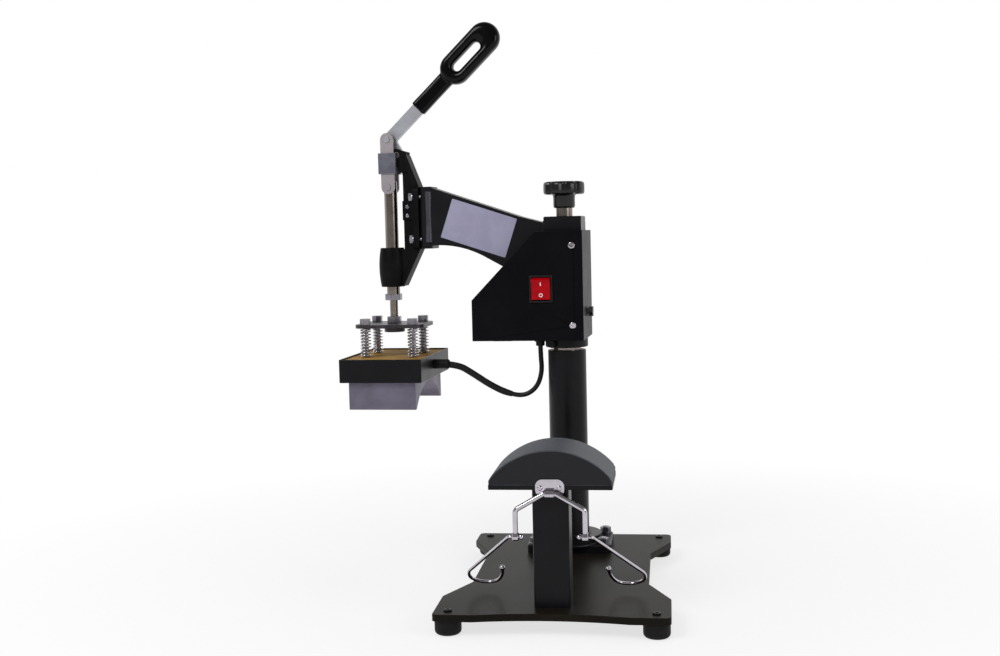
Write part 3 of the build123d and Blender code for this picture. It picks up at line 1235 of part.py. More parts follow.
def power_inlet():
    """A three-pin mains inlet in the floor of the box."""
    def block(length, width, low, high):
        return box((-length / 2, length / 2), (-INLET_OUT - width / 2, -INLET_OUT + width / 2), (low, high))

    flange = block(INLET_LENGTH, INLET_WIDTH, HEAD_BOTTOM - INLET_FLANGE, HEAD_BOTTOM)
    flange = fillet(flange.edges().filter_by(Axis.Z), 4.0)
    body = block(INLET_LENGTH - 6, INLET_WIDTH - 6, HEAD_BOTTOM, HEAD_BOTTOM + INLET_DEPTH)
    socket = block(INLET_SOCKET_LENGTH, INLET_SOCKET_WIDTH, HEAD_BOTTOM - INLET_FLANGE,
                   HEAD_BOTTOM - INLET_FLANGE + INLET_SOCKET_DEPTH)
    inlet = flange + body - socket
    top = HEAD_BOTTOM - INLET_FLANGE + INLET_SOCKET_DEPTH
    for x, y in ((-7, -2), (0, 2), (7, -2)):
        inlet += box((x - 1, x + 1), (-INLET_OUT + y - 2, -INLET_OUT + y + 2), (top - INLET_PIN_LENGTH, top))
    return inlet


def head_gland():
    """The gland that takes the heater cable through the floor of the box."""
    bottom = HEAD_BOTTOM - GLAND_LENGTH
    body = hexagon(GLAND_ACROSS, HEAD_BOTTOM - 5, HEAD_BOTTOM, 0, -GLAND_OUT)
    dome = rod(GLAND_ACROSS - 2, bottom, HEAD_BOTTOM - 5, 0, -GLAND_OUT)
    dome = fillet(dome.edges().sort_by(Axis.Z)[0], 1.5)
    tail = rod(GLAND_ACROSS - 4, HEAD_BOTTOM, HEAD_BOTTOM + GLAND_TAIL, 0, -GLAND_OUT)
    nut = hexagon(GLAND_ACROSS, HEAD_BOTTOM + BOX_WALL, HEAD_BOTTOM + BOX_WALL + 4, 0, -GLAND_OUT)
    bore = rod(CABLE_DIAMETER, bottom, CABLE_POINTS[-1][2], 0, -GLAND_OUT)
    return body + dome + tail + nut - bore


def heater_cable():
    """The cable from the heated platen up into the control box, with its ends in the two glands."""
    points = [(side, -out, level) for out, side, level in CABLE_POINTS]
    tube, radii = tube_path(points, CABLE_DIAMETER)
    print("cable radii", [round(radius, 1) for radius in radii])
    return tube


def swung(function, *values):
    """A piece of the head, drawn closed and then placed at the swing of the resting pose."""
    return lambda: at_head(function(*values))


SUB_PARTS = {
    "base_plate": base_plate,
    "feet": feet,
    "foot_screws": foot_screws,
    "pedestal": pedestal,
    "pedestal_screws": pedestal_screws,
    "lower_platen_plate": lower_platen_plate,
    "lower_pad": lower_pad,
    "platen_screws": platen_screws,
    "column": column,
    "column_flange": column_flange,
    "column_bolts": column_bolts,
    "swing_shaft": swing_shaft,
    "clamp_bracket": clamp_bracket,
    "clamp_screws": clamp_screws,
    "clamp_arch": clamp_arch,
    "left_hook": lambda: hook(-1),
    "right_hook": lambda: hook(1),
    "head_sleeve": swung(head_sleeve),
    "locking_collar": swung(locking_collar),
    "sleeve_cap": swung(sleeve_cap),
    "swing_bushes": swung(swing_bushes),
    "side_bolt": swung(side_bolt),
    "thrust_washer": swung(thrust_washer),
    "knob_stem": swung(knob_stem),
    "pressure_knob": swung(pressure_knob),
    "arm": swung(arm),
    "rating_plate": swung(rating_plate),
    "toggle_bracket": swung(toggle_bracket),
    "bracket_bolts": swung(bracket_bolts),
    "guide_bush": swung(guide_bush),
    "lever_bar": swung(lever_bar),
    "handle_grip": swung(handle_grip),
    "hinge_pin": swung(hinge_pin),
    "knee_pin": swung(knee_pin),
    "toggle_link": swung(toggle_link),
    "plunger_rod": swung(plunger_rod),
    "plunger_pin": swung(plunger_pin),
    "plunger_nuts": swung(plunger_nuts),
    "spider_plate": swung(spider_plate),
    "guide_bolts": swung(guide_bolts),
    "pressure_springs": swung(pressure_springs),
    "platen_cover": swung(platen_cover),
    "insulation_board": swung(insulation_board),
    "heating_element": swung(heating_element),
    "heating_block": swung(heating_block),
    "platen_gland": swung(platen_gland),
    "housing_front_cover": swung(housing_front_cover),
    "housing_rear_cover": swung(housing_rear_cover),
    "housing_screws": swung(housing_screws),
    "switch_bezel": swung(switch_bezel),
    "switch_rocker": swung(switch_rocker),
    "controller_body": swung(controller_body),
    "display_window": swung(display_window),
    "control_board": swung(control_board),
    "down_key": swung(key, button_places()[0]),
    "set_key": swung(key, button_places()[1]),
    "up_key": swung(key, button_places()[2]),
    "power_inlet": swung(power_inlet),
    "head_gland": swung(head_gland),
    "heater_cable": swung(heater_cable),
}

os.makedirs("parts", exist_ok=True)
for name, make in SUB_PARTS.items():
    export_step(make(), f"parts/{name}.step")
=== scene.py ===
"""A swing-away press for caps, put together from its base up.

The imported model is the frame: its solids keep their shapes and get finishes here, and the pieces that
need a softer or finer form are surfaces worked out on grids.  Metres, +Z up, -Y is the front.
"""
import bpy
import bmesh
import math
import numpy as np
from mathutils import Matrix, Vector


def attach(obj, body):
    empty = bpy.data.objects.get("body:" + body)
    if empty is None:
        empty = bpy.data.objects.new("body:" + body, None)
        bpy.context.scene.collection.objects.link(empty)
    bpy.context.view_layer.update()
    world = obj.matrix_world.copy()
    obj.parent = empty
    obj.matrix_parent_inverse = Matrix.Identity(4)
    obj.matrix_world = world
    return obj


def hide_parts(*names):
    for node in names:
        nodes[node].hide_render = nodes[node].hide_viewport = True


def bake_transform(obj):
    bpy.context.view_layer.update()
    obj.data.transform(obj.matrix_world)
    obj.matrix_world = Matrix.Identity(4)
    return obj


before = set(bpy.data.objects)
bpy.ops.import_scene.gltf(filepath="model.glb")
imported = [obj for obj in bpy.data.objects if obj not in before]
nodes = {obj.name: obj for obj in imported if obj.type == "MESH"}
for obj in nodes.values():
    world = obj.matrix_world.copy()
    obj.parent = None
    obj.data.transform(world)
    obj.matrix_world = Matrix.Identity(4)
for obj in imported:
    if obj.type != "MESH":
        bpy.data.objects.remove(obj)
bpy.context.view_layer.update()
scene = bpy.context.scene
scene.view_settings.view_transform = "Standard"
TAU = 2 * math.pi

# ---- Camera
# A plain camera at table height, a little above the cap platen, as a person standing back from the bench
# would see the press.  It has no shift and no depth of field.
YAW, PITCH, ROLL = (math.radians(a) for a in (7.53, -4.41, -1.35))
CAMERA_PLACE = (0.13694, -1.59843, 0.45946)
LENS_MM, SENSOR_MM = 46.314, 36.0
ahead = Vector((-math.sin(YAW) * math.cos(PITCH), math.cos(YAW) * math.cos(PITCH), math.sin(PITCH)))
level_right = Vector((math.cos(YAW), math.sin(YAW), 0))
level_up = level_right.cross(ahead)
right = math.cos(ROLL) * level_right + math.sin(ROLL) * level_up
up = -math.sin(ROLL) * level_right + math.cos(ROLL) * level_up
camera_data = bpy.data.cameras.new("camera")
camera_data.lens, camera_data.sensor_width, camera_data.sensor_fit = LENS_MM, SENSOR_MM, "HORIZONTAL"
camera = bpy.data.objects.new("camera", camera_data)
camera.matrix_world = Matrix((
    (right.x, up.x, -ahead.x, CAMERA_PLACE[0]),
    (right.y, up.y, -ahead.y, CAMERA_PLACE[1]),
    (right.z, up.z, -ahead.z, CAMERA_PLACE[2]),
    (0, 0, 0, 1)))
scene.collection.objects.link(camera)
scene.camera = camera

# ---- Heater cable
# One length of black round cable, three cores in a heat-proof sleeve, that hangs in a single sag from the
# heated platen to the gland under the control box.
COLUMN_Y = 0.119
TURN = math.radians(-93.0)


def swung(side, out, height):
    """Points of the head, in millimetres sideways, outwards and up, turned with it about the column."""
    side, out, height = np.broadcast_arrays(*(np.asarray(a, float) / 1000 for a in (side, out, height)))
    x = side * math.cos(TURN) + out * math.sin(TURN)
    y = side * math.sin(TURN) - out * math.cos(TURN) + COLUMN_Y
    return np.stack([x, y, height], axis=-1)


def make_mesh(name, points, faces, material, body, smooth=True):
    """A piece from an array of points and a list of faces, welded, turned to face out, on its body."""
    mesh = bpy.data.meshes.new(name)
    mesh.from_pydata(np.asarray(points).reshape(-1, 3).tolist(), [], faces)
    work = bmesh.new()
    work.from_mesh(mesh)
    bmesh.ops.remove_doubles(work, verts=work.verts, dist=1e-7)
    bmesh.ops.dissolve_degenerate(work, edges=work.edges, dist=1e-8)
    bmesh.ops.recalc_face_normals(work, faces=work.faces)
    work.to_mesh(mesh)
    work.free()
    mesh.polygons.foreach_set("use_smooth", [smooth] * len(mesh.polygons))
    mesh.update()
    piece = bpy.data.objects.new(name, mesh)
    scene.collection.objects.link(piece)
    if material:
        mesh.materials.append(material)
    if body:
        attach(piece, body)
    return piece


def grid_faces(rows, columns, wrap_rows=False, first=0):
    """Four-sided faces between neighbours on a grid whose rows are closed rings of points."""
    i = np.arange(rows if wrap_rows else rows - 1)[:, None]
    j = np.arange(columns)[None, :]
    i_next, j_next = (i + 1) % rows, (j + 1) % columns
    corners = (i * columns + j, i * columns + j_next, i_next * columns + j_next, i_next * columns + j)
    return (np.stack(np.broadcast_arrays(*corners), axis=-1).reshape(-1, 4) + first).tolist()


def path_frames(path, closed=False):
    """Two unit vectors square to a path at each of its points, carried along it with no twist."""
    path = np.asarray(path, float)
    if closed:
        ahead_of = np.roll(path, -1, axis=0) - np.roll(path, 1, axis=0)
    else:
        ahead_of = np.gradient(path, axis=0)
    tangent = ahead_of / np.linalg.norm(ahead_of, axis=1, keepdims=True)
    start = np.cross(tangent[0], (0.0, 0.0, 1.0))
    if np.linalg.norm(start) < 1e-3:
        start = np.cross(tangent[0], (1.0, 0.0, 0.0))
    normals = [start / np.linalg.norm(start)]
    for direction in tangent[1:]:
        carried = normals[-1] - direction * normals[-1].dot(direction)
        normals.append(carried / np.linalg.norm(carried))
    normals = np.array(normals)
    return normals, np.cross(tangent, normals)


def tube(name, path, radius, material, body, sides=20, closed=False):
    """A ring, or one radius for each point, carried along a path: centre + r (cos a, sin a) in its frame."""
    path = np.asarray(path, float)
    radius = np.broadcast_to(np.asarray(radius, float), (len(path),))[:, None, None]
    normal, binormal = path_frames(path, closed)
    angle = np.arange(sides)[None, :, None] * TAU / sides
    rings = path[:, None] + radius * (np.cos(angle) * normal[:, None] + np.sin(angle) * binormal[:, None])
    faces = grid_faces(len(path), sides, wrap_rows=closed)
    if not closed:
        faces += [list(range(sides))[::-1], list(range((len(path) - 1) * sides, len(path) * sides))]
    return make_mesh(name, rings, faces, material, body)


CABLE_DIAMETER = 0.0065
CABLE_ROUTE = swung(
    [0, 0, 1, 2, 3, 3, 2, 1, 0, 0],
    [182, 152, 129, 106, 83, 59, 41, 34, 36, 36],
    [277, 277, 263.5, 248.5, 237.5, 233, 245, 267, 290, 316])
route = bpy.data.curves.new("route", "CURVE")
route.dimensions = "3D"
spline = route.splines.new("NURBS")
spline.points.add(len(CABLE_ROUTE) - 1)
for point, place in zip(spline.points, CABLE_ROUTE):
    point.co = (*place, 1)
spline.order_u = 3
spline.use_endpoint_u = True
spline.resolution_u = 12
route_object = bpy.data.objects.new("route", route)
scene.collection.objects.link(route_object)
bpy.context.view_layer.update()
line = bpy.data.meshes.new_from_object(route_object)
cable_line = np.array([vertex.co for vertex in line.vertices])
bpy.data.objects.remove(route_object)
bpy.data.meshes.remove(line)
steps = np.linalg.norm(np.diff(cable_line, axis=0), axis=1)
cable_run = np.concatenate([[0], np.cumsum(steps)])
cable = tube("cable", cable_line, CABLE_DIAMETER / 2, None, None)
SLEEVE_LENGTH, SLEEVE_START, SLEEVE_TAPER = 0.098, 0.019, 0.012
SLEEVE_TIP_RADIUS, SLEEVE_SWELL = 0.0034, 0.0011
on_sleeve = (cable_run > SLEEVE_START) & (cable_run < SLEEVE_START + SLEEVE_LENGTH)
sleeve_run = cable_run[on_sleeve]
taper = np.clip((SLEEVE_START + SLEEVE_LENGTH - sleeve_run) / SLEEVE_TAPER, 0, 1)
sleeve_radius = SLEEVE_TIP_RADIUS + SLEEVE_SWELL * taper ** 0.5
sleeve = tube("cable_sleeve", cable_line[on_sleeve], sleeve_radius, None, None)
for piece in (cable, sleeve):
    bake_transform(piece)
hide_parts("heater_cable")

# ---- Finishes
# Each finish is one Principled shader, fed by a shared group of nodes: patches of a second colour, a
# drift in the gloss, and a fine grain for the bump.  All of it follows the piece's own coordinates.


def new_group(name, inputs, outputs):
    group = bpy.data.node_groups.new(name, "ShaderNodeTree")
    for label, kind, value in inputs:
        socket = group.interface.new_socket(label, in_out="INPUT", socket_type=f"NodeSocket{kind}")
        socket.default_value = value
    for label, kind in outputs:
        group.interface.new_socket(label, in_out="OUTPUT", socket_type=f"NodeSocket{kind}")
    return group, group.nodes.new("NodeGroupInput"), group.nodes.new("NodeGroupOutput")


def add(tree, kind, links=(), **settings):
    """One node, with its settings, and its inputs linked to sockets or set to values."""
    node = tree.nodes.new(f"ShaderNode{kind}")
    for key, value in settings.items():
        setattr(node, key, value)
    for index, source in links:
        if isinstance(source, bpy.types.NodeSocket):
            tree.links.new(source, node.inputs[index])
        else:
            node.inputs[index].default_value = source
    return node


patches, given, result = new_group("patches_and_grain", [
    ("Colour", "Color", (0.5, 0.5, 0.5, 1)), ("Second Colour", "Color", (0.5, 0.5, 0.5, 1)),
    ("Patch Scale", "Float", 30.0), ("Roughness", "Float", 0.5), ("Roughness Spread", "Float", 0.1),
    ("Grain Scale", "Float", 900.0), ("Stretch", "Vector", (1, 1, 1)), ("Dust", "Float", 0.0),
], [("Colour", "Color"), ("Roughness", "Float"), ("Height", "Float")])
where = add(patches, "TexCoord")
stretched = add(patches, "VectorMath", [(0, where.outputs["Object"]), (1, given.outputs["Stretch"])],
                operation="MULTIPLY")
broad = add(patches, "TexNoise", [("Vector", where.outputs["Object"]),
                                  ("Scale", given.outputs["Patch Scale"]), ("Detail", 5.0),
                                  ("Roughness", 0.6)])
fine = add(patches, "TexNoise", [("Vector", stretched.outputs[0]), ("Scale", given.outputs["Grain Scale"]),
                                 ("Detail", 3.0), ("Roughness", 0.55)])
spread = add(patches, "MapRange", [("Value", broad.outputs["Fac"]), ("From Min", 0.35), ("From Max", 0.68)],
             interpolation_type="SMOOTHSTEP")
mixed = add(patches, "Mix", [(0, spread.outputs[0]), (6, given.outputs["Colour"]),
                             (7, given.outputs["Second Colour"])], data_type="RGBA")
drift = add(patches, "Math", [(0, broad.outputs["Fac"]), (1, 0.5)], operation="SUBTRACT")
streak = add(patches, "Math", [(0, fine.outputs["Fac"]), (1, 0.5)], operation="SUBTRACT")
both = add(patches, "Math", [(0, streak.outputs[0]), (1, 0.6), (2, drift.outputs[0])],
           operation="MULTIPLY_ADD")
rough = add(patches, "Math", [(0, both.outputs[0]), (1, given.outputs["Roughness Spread"]),
                              (2, given.outputs["Roughness"])], operation="MULTIPLY_ADD", use_clamp=True)
faces_up = add(patches, "SeparateXYZ", [(0, where.outputs["Normal"])])
lies = add(patches, "MapRange", [("Value", faces_up.outputs["Z"]), ("From Min", 0.5), ("From Max", 0.98)])
speck = add(patches, "TexNoise", [("Vector", where.outputs["Object"]), ("Scale", 260.0), ("Detail", 6.0)])
settled = add(patches, "MapRange", [("Value", speck.outputs["Fac"]), ("From Min", 0.42), ("From Max", 0.78)])
dust = add(patches, "Math", [(0, lies.outputs[0]), (1, settled.outputs[0])], operation="MULTIPLY")
dust = add(patches, "Math", [(0, dust.outputs[0]), (1, given.outputs["Dust"])], operation="MULTIPLY")
dusty = add(patches, "Mix", [(0, dust.outputs[0]), (6, mixed.outputs[2]), (7, (0.32, 0.30, 0.28, 1))],
            data_type="RGBA")
dull = add(patches, "Mix", [(0, dust.outputs[0]), (2, rough.outputs[0]), (3, 0.8)], data_type="FLOAT")
patches.links.new(dusty.outputs[2], result.inputs["Colour"])
patches.links.new(dull.outputs[0], result.inputs["Roughness"])
patches.links.new(fine.outputs["Fac"], result.inputs["Height"])


def finish(name, colour, second=None, patch=30.0, roughness=0.5, spread=0.1, grain=900.0,
           stretch=(1, 1, 1), dust=0.0, relief=0.0, metallic=0.0, **sockets):
    """A material from the shared group: relief is the depth of the grain in metres."""
    material = bpy.data.materials.new(name)
    material.use_nodes = True
    tree = material.node_tree
    shader = tree.nodes["Principled BSDF"]
    group = tree.nodes.new("ShaderNodeGroup")
    group.node_tree = patches
    given_values = {"Colour": (*colour, 1), "Second Colour": (*(second or colour), 1), "Patch Scale": patch,
                    "Roughness": roughness, "Roughness Spread": spread, "Grain Scale": grain,
                    "Stretch": stretch, "Dust": dust}
    for label, value in given_values.items():
        group.inputs[label].default_value = value
    tree.links.new(group.outputs["Colour"], shader.inputs["Base Color"])
    tree.links.new(group.outputs["Roughness"], shader.inputs["Roughness"])
    shader.inputs["Metallic"].default_value = metallic
    for label, value in sockets.items():
        shader.inputs[label.replace("_", " ")].default_value = value
    if relief:
        bump = add(tree, "Bump", [("Strength", 0.6), ("Distance", relief),
                                  ("Height", group.outputs["Height"])])
        tree.links.new(bump.outputs[0], shader.inputs["Normal"])
    return material


SMOOTH_BELOW, BEVEL_ABOVE = math.radians(28), math.radians(40)
smoothing = bpy.data.node_groups.new("smooth_by_angle", "GeometryNodeTree")
smoothing.interface.new_socket("Geometry", in_out="INPUT", socket_type="NodeSocketGeometry")
smoothing.interface.new_socket("Geometry", in_out="OUTPUT", socket_type="NodeSocketGeometry")
mesh_in, mesh_out = smoothing.nodes.new("NodeGroupInput"), smoothing.nodes.new("NodeGroupOutput")
shade_faces = smoothing.nodes.new("GeometryNodeSetShadeSmooth")
shade_edges = smoothing.nodes.new("GeometryNodeSetShadeSmooth")
shade_edges.domain = "EDGE"
shade_edges.inputs["Shade Smooth"].default_value = False
edge_angle = smoothing.nodes.new("GeometryNodeInputMeshEdgeAngle")
sharper = smoothing.nodes.new("ShaderNodeMath")
sharper.operation = "GREATER_THAN"
sharper.inputs[1].default_value = SMOOTH_BELOW
for source, target in ((mesh_in.outputs[0], shade_faces.inputs["Geometry"]),
                       (shade_faces.outputs[0], shade_edges.inputs["Geometry"]),
                       (edge_angle.outputs["Unsigned Angle"], sharper.inputs[0]),
                       (sharper.outputs[0], shade_edges.inputs["Selection"]),
                       (shade_edges.outputs[0], mesh_out.inputs[0])):
    smoothing.links.new(source, target)


def dress(material, names, edge=0.0):
    """Give CAD nodes a finish, join their triangles, and break their sharp edges by a small radius."""
    for name in names.split():
        node = nodes[name]
        node.data.materials.clear()
        node.data.materials.append(material)
        weld = node.modifiers.new("weld", "WELD")
        weld.merge_threshold = 1e-6
        if edge:
            bevel = node.modifiers.new("edges", "BEVEL")
            bevel.width, bevel.segments = edge, 2
            bevel.limit_method, bevel.angle_limit = "ANGLE", BEVEL_ABOVE
            bevel.use_clamp_overlap = True
        shading = node.modifiers.new("shading", "NODES")
        shading.node_group = smoothing
        flat = node.modifiers.new("flat", "WEIGHTED_NORMAL")
        flat.keep_sharp, flat.weight = True, 80


# ---- Base plate, feet and fixings
# An 8 mm steel plate, cut with a waist and four lobes and coated in a smooth brownish black.
# It stands on four turned rubber feet, each held by a button-head screw through the plate.
gloss_black = finish("gloss_black_coat", (0.0078, 0.0064, 0.0046), (0.0110, 0.0090, 0.0062), patch=9,
                     roughness=0.36, spread=0.10, grain=520, relief=0.00002, dust=0.006,
                     Specular_IOR_Level=0.05)
rubber = finish("black_rubber", (0.0045, 0.0045, 0.0048), (0.008, 0.008, 0.0085), patch=60, roughness=0.6,
                spread=0.2, grain=1500, relief=0.00005, dust=0.02, Specular_IOR_Level=0.15)
zinc = finish("zinc_plate", (0.30, 0.29, 0.32), (0.18, 0.17, 0.19), patch=120, roughness=0.3, spread=0.3,
              grain=1800, relief=0.00002, metallic=1.0)
dress(gloss_black, "base_plate", 0.0005)
dress(rubber, "feet", 0.0004)
dress(zinc, "pedestal_screws platen_screws column_bolts", 0.0002)

# ---- Pedestal and lower platen
# A square tube with welded end plates, coated in fine black, carries a flat plate.  On it lies the cap
# pad: dense silicone foam moulded to the crown of a cap, greyer on its skin; its cut ends, the faces toward
# the front and back, are darker, partly the foam's own colour and partly painted shade.
satin_black = finish("satin_black_coat", (0.0036, 0.0036, 0.0047), (0.0055, 0.0055, 0.0070), patch=24,
                     roughness=0.34, spread=0.16, grain=1100, relief=0.00004, dust=0.008,
                     Specular_IOR_Level=0.15)
dress(satin_black, "foot_screws pedestal lower_platen_plate", 0.0006)

PAD_HALF, PAD_RISE, PAD_SPRINGING, PAD_BOTTOM = 0.0705, 0.0335, 0.1745, 0.1681
PAD_RADIUS = (PAD_HALF ** 2 + PAD_RISE ** 2) / (2 * PAD_RISE)
PAD_ENDS, PAD_ROUND, PAD_CORNER = (-0.1650, -0.0730), 0.0018, 0.0009
PAD_TUCK, TUCK_REACH, PAD_SWELL = 0.0012, 0.02, 0.0004
PAD_END_MARGIN, PAD_SIDE_DROPS = 0.008, (0.0012, 0.0040)
ARC_POINTS, FLOOR_POINTS, MIDDLE_STATIONS, ROUND_STATIONS = 97, 41, 40, 8
opening_out = np.linspace(0, math.pi / 2, ROUND_STATIONS)
closing_in = np.linspace(math.pi / 2, 0, ROUND_STATIONS)
station = np.concatenate([PAD_ENDS[0] + (PAD_ROUND - PAD_ROUND * np.cos(opening_out)),
                          np.linspace(PAD_ENDS[0] + PAD_END_MARGIN, PAD_ENDS[1] - PAD_END_MARGIN,
                                      MIDDLE_STATIONS),
                          PAD_ENDS[1] - (PAD_ROUND - PAD_ROUND * np.cos(closing_in))])
inset = np.concatenate([PAD_ROUND - PAD_ROUND * np.sin(opening_out), np.zeros(MIDDLE_STATIONS),
                        PAD_ROUND - PAD_ROUND * np.sin(closing_in)])


def pad_ring(inset_by):
    """An arc, (R sin t, centre + R cos t), less the inset, on short sides that round into a flat floor."""
    radius, half = PAD_RADIUS - inset_by, PAD_HALF - inset_by
    centre = PAD_SPRINGING + PAD_RISE - PAD_RADIUS
    limit = math.asin(half / radius)
    angle = np.linspace(limit, -limit, ARC_POINTS)
    arc = np.stack([radius * np.sin(angle), centre + radius * np.cos(angle)], axis=1)
    arc[:, 0] -= PAD_TUCK * np.sign(angle) * np.exp(-(limit - np.abs(angle)) / TUCK_REACH)
    corner = np.linspace(0, math.pi / 2, 6)
    turn = np.stack([-half + PAD_CORNER * (1 - np.cos(corner)),
                     PAD_BOTTOM + PAD_CORNER * (1 - np.sin(corner))], axis=1)
    side = np.array([(-half, PAD_SPRINGING - drop) for drop in PAD_SIDE_DROPS])
    left = np.concatenate([side, turn])
    floor = np.stack([np.linspace(turn[-1, 0], -turn[-1, 0], FLOOR_POINTS)[1:-1],
                      np.full(FLOOR_POINTS - 2, PAD_BOTTOM)], axis=1)
    return np.concatenate([arc, left, floor, left[::-1] * (-1, 1)])


rings = np.array([pad_ring(value) for value in inset])
swell = PAD_SWELL * np.sin(np.linspace(0, math.pi, len(station)))[:, None]
rings[:, :ARC_POINTS, 1] += swell * np.sin(np.linspace(0, math.pi, ARC_POINTS))[None, :]
pad_points = np.stack([rings[..., 0], np.broadcast_to(station[:, None], rings.shape[:2]), rings[..., 1]],
                      axis=-1)
ends = []
for index in (0, -1):
    middle_point = pad_points[index].mean(axis=0)
    shrink = np.linspace(1, 0, 9)[1:, None, None]
    ends.append(middle_point + (pad_points[index] - middle_point) * shrink)
pad_points = np.concatenate([ends[0][::-1], pad_points, ends[1]])
pad_skin = finish("silicone_skin", (0.044, 0.047, 0.060), (0.064, 0.068, 0.084), patch=22, roughness=0.55,
                  spread=0.2, grain=700, relief=0.00012, Specular_IOR_Level=0.22,
                  Sheen_Weight=0.04, Sheen_Roughness=0.4)
tree = pad_skin.node_tree
shader = tree.nodes["Principled BSDF"]
skin_colour = shader.inputs["Base Color"].links[0].from_socket
# The faces that look to the front and back are mixed to a darker colour: partly the foam's own, partly
# painted shade.
coordinates = add(tree, "TexCoord")
across_pad = add(tree, "SeparateXYZ", [(0, coordinates.outputs["Normal"])])
facing = add(tree, "Math", [(0, across_pad.outputs["Y"])], operation="ABSOLUTE")
end_and_painted_shade_mask = add(tree, "MapRange", [("Value", facing.outputs[0]), ("From Min", 0.75), ("From Max", 0.97)])
dark_end_and_painted_shade = add(tree, "Mix", [(0, end_and_painted_shade_mask.outputs[0]), (6, skin_colour), (7, (0.0105, 0.0105, 0.0125, 1))],
                 data_type="RGBA")
tree.links.new(dark_end_and_painted_shade.outputs[2], shader.inputs["Base Color"])
pad = make_mesh("cap_pad", pad_points, grid_faces(len(pad_points), pad_points.shape[1]), pad_skin, "base")
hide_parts("lower_pad")

# ---- Column, its flange and the shaft
# A thick round tube is welded to a flange that four bolts hold down.  A ground steel shaft stands out of
# the tube, and the whole head turns on it.
dress(satin_black, "column column_flange", 0.0006)
# The steel's dark brownish tone is partly its own and partly a painted reflection of a dark room.
steel_and_painted_reflection = finish("steel_and_painted_reflection", (0.27, 0.235, 0.21), (0.20, 0.17, 0.15), patch=60, roughness=0.2,
                      spread=0.06, grain=300, metallic=1.0)
dress(steel_and_painted_reflection, "swing_shaft knob_stem hinge_pin plunger_pin", 0.0002)
RIPPLE = 0.0019


def bead(name, path, radius, body, closed=False):
    """A weld bead: a tube whose radius swells a little at every ripple along the seam."""
    path = np.asarray(path, float)
    steps = np.linalg.norm(np.diff(path, axis=0), axis=1)
    run = np.concatenate([[0], np.cumsum(steps)])
    swelling = 1 + 0.10 * np.abs(np.sin(math.pi * run / RIPPLE)) + 0.05 * np.sin(run * 310)
    return tube(name, path, radius * swelling, weld_black, body, sides=14, closed=closed)


weld_black = finish("coated_weld", (0.0045, 0.0045, 0.0055), (0.007, 0.007, 0.0085), patch=80, roughness=0.3,
                    spread=0.2, grain=900, relief=0.00008, Specular_IOR_Level=0.22)
# The arm's end welds are a lighter bluish grey than the black coat: a painted highlight along them.
weld_painted_highlight = finish("coated_weld_painted_highlight", (0.020, 0.019, 0.030), (0.030, 0.028, 0.044), patch=60,
                     roughness=0.36, spread=0.12, grain=600, relief=0.00003, Specular_IOR_Level=0.6)
angle = np.linspace(0, TAU, 241)[:-1]
for name, radius, height in (("column_weld", 0.0258, 0.0464), ("ring_weld", 0.0422, 0.0364)):
    seam = np.stack([radius * np.cos(angle), COLUMN_Y + radius * np.sin(angle),
                     np.full(len(angle), height)], axis=1)
    bead(name, seam, 0.0024, "base", closed=True)

# ---- Cap clamp
# Bright-plated spring wire: an arch hangs in a rolled barrel under the front edge of the platen, and two
# ball-ended hooks hang in its knuckles.
chrome = finish("bright_chrome", (0.56, 0.53, 0.58), (0.46, 0.43, 0.47), patch=50, roughness=0.12,
                spread=0.12, grain=1500, relief=0.00001, metallic=1.0)
dress(chrome, "clamp_arch left_hook right_hook")
dress(chrome, "clamp_bracket clamp_screws", 0.0004)

# ---- Sleeve, collar and cap of the head
# A square tube turns on the shaft on two nylon bushes.  A clamping collar lies under it, and a cap plate
# closes it and carries the pressure screw.
dress(satin_black, "head_sleeve sleeve_cap locking_collar", 0.0005)
nylon = finish("natural_nylon", (0.66, 0.63, 0.55), (0.6, 0.56, 0.47), patch=40, roughness=0.5, grain=900,
               relief=0.00003, Subsurface_Weight=0.05)
bronze = finish("sintered_bronze", (0.55, 0.36, 0.17), (0.4, 0.25, 0.12), patch=60, roughness=0.42,
                spread=0.2, grain=2200, relief=0.00003, metallic=1.0)
dress(nylon, "swing_bushes")
dress(bronze, "thrust_washer guide_bush")
dress(zinc, "side_bolt", 0.0003)

# ---- Pressure knob
# A moulded phenolic hand wheel with eight finger hollows, on a hub that is pressed over the screw.
phenolic = finish("black_phenolic", (0.004, 0.004, 0.0045), (0.0065, 0.0065, 0.007), patch=50, roughness=0.24,
                  spread=0.12, grain=1200, relief=0.00003, Specular_IOR_Level=0.35)
KNOB_LOW, DISC_LOW, KNOB_HIGH = 0.485, 0.503, 0.520
KNOB_HOLLOWS, HOLLOW_DEPTH, KNOB_SIDES = 8, 0.0033, 192
knob_profile = np.array([
    (0.0, KNOB_LOW), (0.0125, KNOB_LOW), (0.0140, KNOB_LOW + 0.0008), (0.0145, KNOB_LOW + 0.003),
    (0.0145, DISC_LOW - 0.004), (0.0150, DISC_LOW - 0.0012), (0.0172, DISC_LOW), (0.0235, DISC_LOW),
    (0.0262, DISC_LOW + 0.0006), (0.0273, DISC_LOW + 0.0022), (0.0275, DISC_LOW + 0.0048),
    (0.0275, KNOB_HIGH - 0.0048), (0.0272, KNOB_HIGH - 0.0022), (0.0258, KNOB_HIGH - 0.0006),
    (0.0236, KNOB_HIGH), (0.0180, KNOB_HIGH - 0.0003), (0.0168, KNOB_HIGH - 0.0014),
    (0.0120, KNOB_HIGH - 0.0020), (0.0112, KNOB_HIGH - 0.0016), (0.0106, KNOB_HIGH - 0.0004),
    (0.0070, KNOB_HIGH - 0.0001), (0.0, KNOB_HIGH)])
turns = np.arange(KNOB_SIDES) * TAU / KNOB_SIDES
hollow = np.clip(np.cos(KNOB_HOLLOWS * turns), 0, 1) ** 1.3
